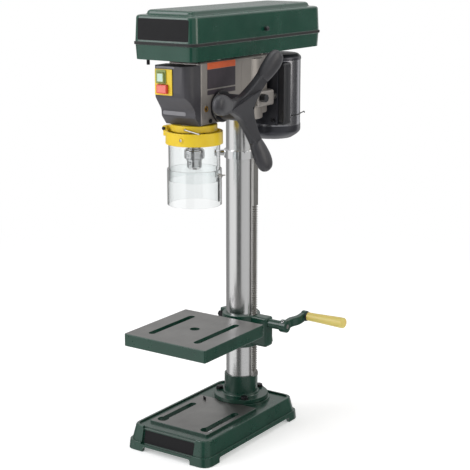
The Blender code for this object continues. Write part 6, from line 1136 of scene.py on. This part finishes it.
def dress_guard():
    """The guard: collar on the quill boss, hinged ring, rod, screw and two clear shields."""
    collar = tube("guard_band", 0.0303, 0.043, 0.612, 0.6245, SPINDLE, Z, 128, 0.0012)
    fuse(collar, block("collar_arm", (-0.0545, -0.1708, 0.6122), (-0.036, -0.1612, 0.6195), 0.0008),
         bar("collar_knuckle", HINGE - Y * 0.0048, HINGE + Y * 0.0048, 0.0055, 0.0006, 48))
    carve(collar, bar("collar_pin_hole", HINGE - Y * 0.02, HINGE + Y * 0.02, 0.0023, 0, 24),
          bar("collar_bore", SPINDLE + Z * 0.60, SPINDLE + Z * 0.64, 0.0303, 0, 96))
    finish(collar, "machine", YELLOW_ABS, "yellow_plastic", "guard_collar", crease=40)
    finish(gather("guard_stay", bar("stay_rod", (0.010, -0.1985, 0.6185), (0.041, -0.1960, 0.6125),
                                    0.0014, 0.0004, 24),
                  bar("stay_end", (0.0085, -0.1965, 0.6187), (0.0115, -0.1995, 0.6183), 0.0020,
                      0.0004, 24)), "machine", BRIGHT_STEEL, "bright_steel")
    paint(BLACK_OXIDE, "guard_pin")
    finish(gather("hinge_ends", *[bar(f"hinge_end_{s}", HINGE + Y * s * 0.0128,
                                      HINGE + Y * s * 0.0152, 0.0033, 0.0006, 32)
                                  for s in (-1, 1)]), "machine", BLACK_OXIDE, "bright_steel")
    band = tube("guard_ring_band", 0.0483, 0.053, 0.588, 0.6117, SPINDLE, Z, 160, 0.0010)
    fuse(band, tube("ring_lip", 0.0505, 0.0532, 0.5883, 0.5915, SPINDLE, Z, 144, 0.0006))
    for s in (-1, 1):
        near = HINGE + Y * s * 0.0053
        fuse(band, bar(f"ring_knuckle_{s}", near, near + Y * s * 0.0066, 0.0055, 0.0006, 48),
             block(f"ring_lug_{s}", (-0.0550, min(near.y, near.y + s * 0.0066), 0.600),
                   (-0.0490, max(near.y, near.y + s * 0.0066), 0.614), 0.0008))
    fuse(band, bar("ring_boss", (0.008, -0.2035, 0.59985), (0.008, -0.2092, 0.59985), 0.0045,
                   0.0007, 48))
    carve(band, bar("ring_room", SPINDLE + Z * 0.58, SPINDLE + Z * 0.62, 0.0486, 0, 144),
          bar("ring_knuckle_room", HINGE - Y * 0.0052, HINGE + Y * 0.0052, 0.0061, 0, 48),
          bar("ring_pin_hole", HINGE - Y * 0.03, HINGE + Y * 0.03, 0.0023, 0, 24),
          bar("ring_screw_hole", (0.008, -0.2075, 0.59985), (0.008, -0.22, 0.59985), 0.0030, 0, 32))
    finish(band, "guard", YELLOW_ABS, "yellow_plastic", "guard_ring", crease=40)
    finish(bar("ring_screw", (0.008, -0.2060, 0.59985), (0.008, -0.2085, 0.59985), 0.0028, 0.0006,
               32), "guard", BRIGHT_STEEL, "bright_steel")
    way = place_round(1, 8.4)
    across = Z.cross(way)
    wing_place = SPINDLE + Z * 0.531
    upper = tube("upper_shield_tube", 0.0455, 0.048, 0.520, 0.598, SPINDLE, Z, 160, 0.0004)
    carve(upper, bar("upper_hole", wing_place + way * 0.040, wing_place + way * 0.055, 0.0023, 0,
                     24))
    finish(upper, "guard", POLYCARBONATE, "clear_plastic", "upper_shield", crease=60)
    lower = tube("lower_shield_tube", 0.0483, 0.0508, 0.474, 0.541, SPINDLE, Z, 160, 0.0004)
    carve(lower, slab("shield_slot", slot_line((0, 0.4850), (0, 0.5325), 0.0052), 0.040, 0.060, 0,
                      SPINDLE, way, across))
    finish(lower, "shield", POLYCARBONATE, "clear_plastic", "lower_shield", crease=60)
    face = wing_place + way * 0.0511
    nut = lathe("wing_hub", ((0, 0), (0.0040, 0), (0.0036, 0.0055), (0, 0.0062)), face, way, 48,
                0.0006)
    wings = slab("wings", eased([(-0.0030, 0.0010), (0.0030, 0.0010), (0.0108, 0.0046, 0.004),
                                 (0.0102, 0.0088, 0.004), (0.0034, 0.0058, 0.003),
                                 (-0.0034, 0.0058, 0.003), (-0.0102, 0.0088, 0.004),
                                 (-0.0108, 0.0046, 0.004)], 0, True, 6), -0.0011, 0.0011, 0.0006,
                 face, Z * -1, across)
    screw = bar("wing_screw_stem", wing_place + way * 0.0452, face + way * 0.0030, 0.0019, 0.0003, 24)
    finish(gather("wing_nut_piece", nut, wings, screw), "guard", BRIGHT_STEEL, "bright_steel",
           "wing_nut")


# The chuck

def dress_chuck():
    """The keyed chuck: turned body with key holes, knurled and toothed sleeve, three jaws."""
    body = lathe("chuck_turned", (
        (0.0071, 0.5778), (0.0160, 0.5778), (0.0160, 0.5758), (0.0133, 0.5758), (0.0133, 0.5597),
        (0.0150, 0.5597), (0.0150, 0.5567), (0.0135, 0.5560), (0.0135, 0.5440, 0.001),
        (0.0100, 0.5400), (0.0052, 0.5400), (0.0052, 0.5610), (0.0071, 0.5630)), SPINDLE, Z, 128,
        0.0004, True)
    holes = [bar(f"key_hole_{a}", SPINDLE + place_round(0.008, a, 0.5522),
                 SPINDLE + place_round(0.020, a, 0.5522), 0.0030, 0, 32) for a in (30, 150, 270)]
    jaws = []
    for index, angle in enumerate((90, 210, 330)):
        way = place_round(1, angle)
        slant = (way * math.sin(math.radians(12)) + Z * math.cos(math.radians(12)))
        tip = SPINDLE + way * 0.0046 + Z * 0.5395
        jaws.append((index + 1, tip, slant, way))
        holes.append(bar(f"jaw_hole_{index}", tip - slant * 0.01, tip + slant * 0.0246, 0.0027, 0,
                         24))
    carve(body, *holes)
    finish(body, "spindle_body", CHROME, "chrome", "chuck_body", crease=35)
    for index, tip, slant, way in jaws:
        jaw = bar(f"jaw_{index}_rod", tip, tip + slant * 0.024, 0.0024, 0.0003, 32)
        carve(jaw, block(f"jaw_flat_{index}", (-0.006, -0.006, -0.001), (-0.0011, 0.006, 0.010), 0,
                         tip, slant, way))
        finish(jaw, f"jaw_{index}", BRIGHT_STEEL, "bright_steel", f"chuck_jaw_{index}")
    sleeve = tube("chuck_ring", 0.0136, 0.0187, 0.5616, 0.5755, SPINDLE, Z, 128, 0.0007)
    carve(sleeve, tube("sleeve_line", 0.0183, 0.020, 0.5726, 0.5732, SPINDLE, Z, 128, 0))
    finish(sleeve, "sleeve", CHROME, "chrome", "chuck_sleeve", crease=35)
    knurl = repeat("sleeve_knurl", block("knurl_rib", (-0.0006, -0.00042, 0), (0.00024, 0.00042,
                                                                              0.0072), 0.0002),
                   72, CHROME, 0.0187, (0, 0, 0), SPINDLE + Z * 0.5645, Z)
    finish(knurl, "sleeve", CHROME, "chrome")
    teeth = repeat("sleeve_teeth", slab("key_tooth", [(0, -0.0009), (0, 0.0009), (0.0042, 0.0004),
                                                      (0.0042, -0.0004)], 0, 0.0017, 0.0002),
                   30, CHROME, 0.0142, (0, 0, 0), SPINDLE + Z * 0.5601, Z)
    finish(teeth, "sleeve", CHROME, "chrome")
    paint(BRIGHT_STEEL, "quill", "spindle", "quill_bearing_lower", "quill_bearing_upper",
          "pulley_bearing")
    quill_nose = lathe("quill_rim", ((0.0160, 0.5842), (0.0201, 0.5842), (0.0201, 0.5872),
                                     (0.0160, 0.5872)), SPINDLE, Z, 96, 0.0005, True)
    finish(quill_nose, "quill_body", BRIGHT_STEEL, "bright_steel")


# The belt housing

def loft(name, levels, at=(0, 0, 0)):
    """A box drawn through round-cornered rectangles: half width, half length, corner, height."""
    bm = bmesh.new()
    rings = [[bm.verts.new((p.x, p.y, height)) for p in
              rectangle((-half_x, -half_y), (half_x, half_y), corner, 8)]
             for half_x, half_y, corner, height in levels]
    for low, high in zip(rings, rings[1:]):
        for k in range(len(low)):
            bm.faces.new((low[k], low[(k + 1) % len(low)], high[(k + 1) % len(low)], high[k]))
    bm.faces.new(rings[0][::-1])
    bm.faces.new(rings[-1])
    bmesh.ops.recalc_face_normals(bm, faces=bm.faces)
    return shape(name, bm, at)


def drawn(name, profile, ease=0.0, corner=0.017):
    """A deep-drawn box of the housing from (half width, height) points, its corners eased."""
    levels = [(p.x, p.x + 0.14815, corner - (0.0697 - p.x) * 0.35, p.y)
              for p in eased(profile, ease)]
    return loft(name, levels, (0, -0.03185, 0))


def dress_housing():
    """The belt housing: drawn pan, lid with a raised field, both flanged at the seam, hinges."""
    pan = drawn("pan_press", ((0.0645, 0.7460), (0.0662, 0.7460, 0.0016), (0.0677, 0.7722, 0.0012),
                              (0.0697, 0.7727), (0.0697, 0.7750)), 0.0002)
    knuckles = []
    for y in (-0.150, 0.080):
        for low in (-0.020, 0.010):
            start = Vector((-0.0737, y + low + 0.00015, 0.77515))
            knuckles += [bar(f"pan_knuckle_{y}_{low}", start, start + Y * 0.0097, 0.0034, 0.0004, 32),
                         block(f"pan_web_{y}_{low}", (-0.0750, start.y, 0.7718),
                               (-0.0685, start.y + 0.0097, 0.7749), 0.0003)]
    fuse(pan, *knuckles)
    carve(pan, drawn("pan_room", ((0.0634, 0.7485), (0.0652, 0.7715), (0.0668, 0.7727),
                                  (0.0668, 0.7800)), 0, 0.015),
          bar("pan_hinge_hole", (-0.0737, -0.18, 0.77515), (-0.0737, 0.12, 0.77515), 0.0018, 0, 24),
          bar("pan_spindle_hole", SPINDLE + Z * 0.74, SPINDLE + Z * 0.752, 0.018, 0, 64),
          bar("pan_idler_hole", (0.022, -0.047, 0.74), (0.022, -0.047, 0.76), 0.0053, 0, 32),
          slab("pan_motor_slot", slot_line((0, 0.1085), (0, 0.1035), 0.022), 0.74, 0.76, 0))
    ease_edges(pan, 0.0009, 30, 2)
    # The pan's outer rim at the seam gets dark belt rubber: painted shade, the shadow line under the
    # lid's lip.
    finish(pan, "machine", SHEET_ENAMEL, "green_paint", "housing_pan", crease=35, inlaid=(
        BELT_RUBBER, lambda c, n: c.x > -0.0700 and c.z > 0.7728 and abs(n.z) < 0.5))
    finish(bar("pan_stop_pin", (-0.044, -0.233, 0.7360), (-0.044, -0.233, 0.7475), 0.0030, 0.0008,
               32), "machine", BLACK_OXIDE, "bright_steel")
    lid = drawn("lid_press", ((0.0697, 0.7753), (0.0697, 0.7775), (0.0680, 0.7779, 0.0008),
                              (0.0661, 0.8243, 0.0048), (0.0520, 0.8252, 0.0022),
                              (0.0498, 0.8312, 0.0014), (0.0468, 0.8330)), 0.0002)
    knuckles = []
    for y in (-0.150, 0.080):
        start = Vector((-0.0737, y - 0.00985, 0.77515))
        knuckles += [bar(f"lid_knuckle_{y}", start, start + Y * 0.0197, 0.0034, 0.0004, 32),
                     block(f"lid_web_{y}", (-0.0750, start.y, 0.7754),
                           (-0.0685, start.y + 0.0197, 0.7785), 0.0003)]
    fuse(lid, *knuckles)
    carve(lid, drawn("lid_room", ((0.0652, 0.7700), (0.0645, 0.7790), (0.0612, 0.8180),
                                  (0.0580, 0.8215)), 0, 0.015),
          bar("lid_hinge_hole", (-0.0737, -0.18, 0.77515), (-0.0737, 0.12, 0.77515), 0.0018, 0, 24))
    # The lid's lower rim at the seam also gets dark belt rubber: painted shade of the same seam
    # shadow line.
    finish(lid, "cover", SHEET_ENAMEL, "green_paint", "lid", crease=30, inlaid=(
        BELT_RUBBER, lambda c, n: c.x > -0.0700 and 0.7750 < c.z < 0.7780))
    lean = Vector((0, -0.9992, 0.0409))
    finish(slab("lid_field", rectangle((-0.0555, -0.0190), (0.0555, 0.0190), 0.003), -0.0006, 0.0003,
                0.0001, (0, -0.24715, 0.8000), lean, X), "cover", BLACK_FILM, "green_paint")
    knob = lathe("lid_ball", ((0, 0.0080), (0.0032, 0.0080, 0.0014), (0.0046, 0.0064, 0.0014),
                              (0.0046, 0.0038, 0.0012), (0.0028, 0.0028), (0.0028, -0.0010),
                              (0, -0.0010)), (0.0672, -0.021, 0.792), X, 64, 0.0006)
    finish(knob, "cover", BLACK_ABS, "black_plastic", "lid_knob")
    paint(BRIGHT_STEEL, "lid_hinge_pin")


# The belt drive

def step_line(steps, first=0.752, tall=0.014, deep=0.005, flank=0.004):
    """The outer side of a stepped pulley, from the top down, with a V groove at each step."""
    points = []
    for index in reversed(range(len(steps))):
        low = first + tall * index
        points += [(steps[index], low + tall - 0.0002), (steps[index], low + tall - 0.0016),
                   (steps[index] - deep, low + tall - flank), (steps[index] - deep, low + flank),
                   (steps[index], low + 0.0016), (steps[index], low + 0.0002)]
    return points


def dress_drive():
    """Three stepped pulleys, the idler's arm, and two V belts."""
    spindle_steps = (0.030, 0.040, 0.050, 0.058)
    top = 0.808
    finish(lathe("spindle_cone", [(0.0088, top - 0.0002), (0.016, top - 0.0002), (0.019, top - 0.004),
                                  (0.048, top - 0.004), (0.051, top - 0.0002)]
                 + step_line(spindle_steps) + [(0.014, 0.7520), (0.014, 0.7302), (0.0088, 0.7302)],
                 SPINDLE, Z, 128, 0.0004, True), "spindle_drive", DIE_CAST, "die_cast",
           "spindle_pulley")
    finish(lathe("idler_cone", [(0.0063, top - 0.0002), (0.022, top - 0.0002)]
                 + step_line((0.054, 0.046, 0.038, 0.030)) + [(0.0063, 0.7522)],
                 (0, -0.033, 0), Z, 128, 0.0004, True), "idler", DIE_CAST, "die_cast",
           "idler_pulley")
    finish(lathe("motor_cone", [(0, top - 0.0002), (0.012, top - 0.0002), (0.015, top - 0.004),
                                (0.034, top - 0.004), (0.037, top - 0.0002)]
                 + step_line((0.020, 0.028, 0.036, 0.044)) + [(0.007, 0.7522), (0.007, 0.6902),
                                                              (0, 0.6902)],
                 (0, 0.1085, 0), Z, 128, 0.0004), "rotor", DIE_CAST, "die_cast", "motor_pulley")
    paint(BLACK_OXIDE, "idler_arm")
    paint(BELT_RUBBER, "front_belt", "rear_belt")


# The motor

MOTOR = Vector((0, 0.1085, 0))


def dress_motor():
    """The motor: lacquered shell between dark end bells, its plate, rods and terminal box."""
    shell = lathe("motor_shell", ((0, 0.5830), (0.0572, 0.5830), (0.0572, 0.7270), (0, 0.7270)),
                  MOTOR, Z, 160, 0.0008)
    foot = block("motor_foot", (-0.0527, 0.0503, 0.615), (0.0197, 0.080, 0.705), 0.002)
    shaft_hole = bar("motor_shaft_hole", MOTOR + Z * 0.6898, MOTOR + Z * 0.75, 0.0073, 0, 48)
    carve(shell, shaft_hole)
    finish(shell, "motor", MOTOR_SHELL, "silver_paint", "motor_body")
    bell = lathe("lower_bell", ((0, 0.5670), (0.0400, 0.5670, 0.003), (0.0530, 0.5755, 0.004),
                                (0.0580, 0.5815, 0.003), (0.0580, 0.5945, 0.0008), (0.0560, 0.5945),
                                (0.0560, 0.5900), (0, 0.5900)), MOTOR, Z, 160, 0.0006)
    upper = lathe("upper_bell", ((0, 0.7340), (0.0520, 0.7340, 0.003), (0.0580, 0.7280, 0.003),
                                 (0.0580, 0.7225, 0.0008), (0.0560, 0.7225), (0, 0.7260)), MOTOR, Z,
                  160, 0.0006)
    carve(upper, bar("bell_shaft_hole", MOTOR + Z * 0.70, MOTOR + Z * 0.75, 0.0073, 0, 48))
    vent = block("bell_vent", (-0.011, -0.0014, -0.003), (0.011, 0.0014, 0.006), 0.0006)
    vents = repeat("vent_tools", vent, 12, DARK_LACQUER, 0.030, (0, 0, 0), MOTOR + Z * 0.5680, Z)
    carve(bell, vents)
    for piece in (foot, bell, upper):
        finish(piece, "motor", DARK_LACQUER, "black_paint")
    carrier = block("motor_flat", (-0.053, 0.0465, 0.600), (0.053, 0.050, 0.722), 0.0008)
    finish(carrier, "motor", DARK_LACQUER, "black_paint", "motor_plate")
    for s in (-1, 1):
        finish(bar(f"slide_rod_{s}", (s * 0.0445, -0.020, 0.658), (s * 0.0445, 0.0475, 0.658),
                   0.0070, 0.0008, 64), "motor", BRIGHT_STEEL, "bright_steel")
        for z in (0.6100, 0.7100):
            finish(hex_bolt(f"plate_bolt_{s}_{z}", (s * 0.043, 0.0465, z), -Y, 0.0080, 0.0034,
                            0.002, 0.003), "motor", BLACK_OXIDE, "bright_steel")
    shroud = block("terminal_shell", (0.020, 0.0503, 0.600), (0.066, 0.077, 0.722), 0.0045)
    fuse(shroud, block("terminal_lid", (0.0240, 0.0492, 0.6080), (0.0660, 0.0512, 0.7140), 0.0008))
    carve(shroud, bar("terminal_room", MOTOR + Z * 0.59, MOTOR + Z * 0.73, 0.0583, 0, 128),
          block("terminal_seam", (0.0655, 0.0620, 0.6040), (0.07, 0.0626, 0.7180), 0),
          *[block(f"terminal_dent_{k}", (0.0657, 0.0535, 0.6180 + k * 0.034),
                  (0.07, 0.0595, 0.6400 + k * 0.034), 0.0006) for k in range(3)])
    finish(shroud, "motor", BLACK_ABS, "black_plastic", "terminal_box", crease=45)
    for z in (0.6070, 0.7150):
        finish(socket_screw(f"terminal_screw_{z}", (0.0655, 0.0700, z), X, 0.0026, 0.003, 0.0022,
                            0.0006), "motor", BLACK_OXIDE, "bright_steel")
    hook = [MOTOR + place_round(0.0579, angle, 0.6145) for angle in range(-14, 38, 4)]
    hook += [MOTOR + place_round(0.0622, 38, 0.6152), MOTOR + place_round(0.0655, 39, 0.6172),
             MOTOR + place_round(0.0668, 39, 0.6140)]
    finish(gather("shell_hook", *[bar(f"hook_{k}", low, high, 0.0010, 0.0002, 16)
                                  for k, (low, high) in enumerate(zip(hook, hook[1:]))]),
           "motor", BLACK_OXIDE, "bright_steel")


dress_switch()
dress_guard()
dress_chuck()
dress_housing()
dress_drive()
dress_motor()
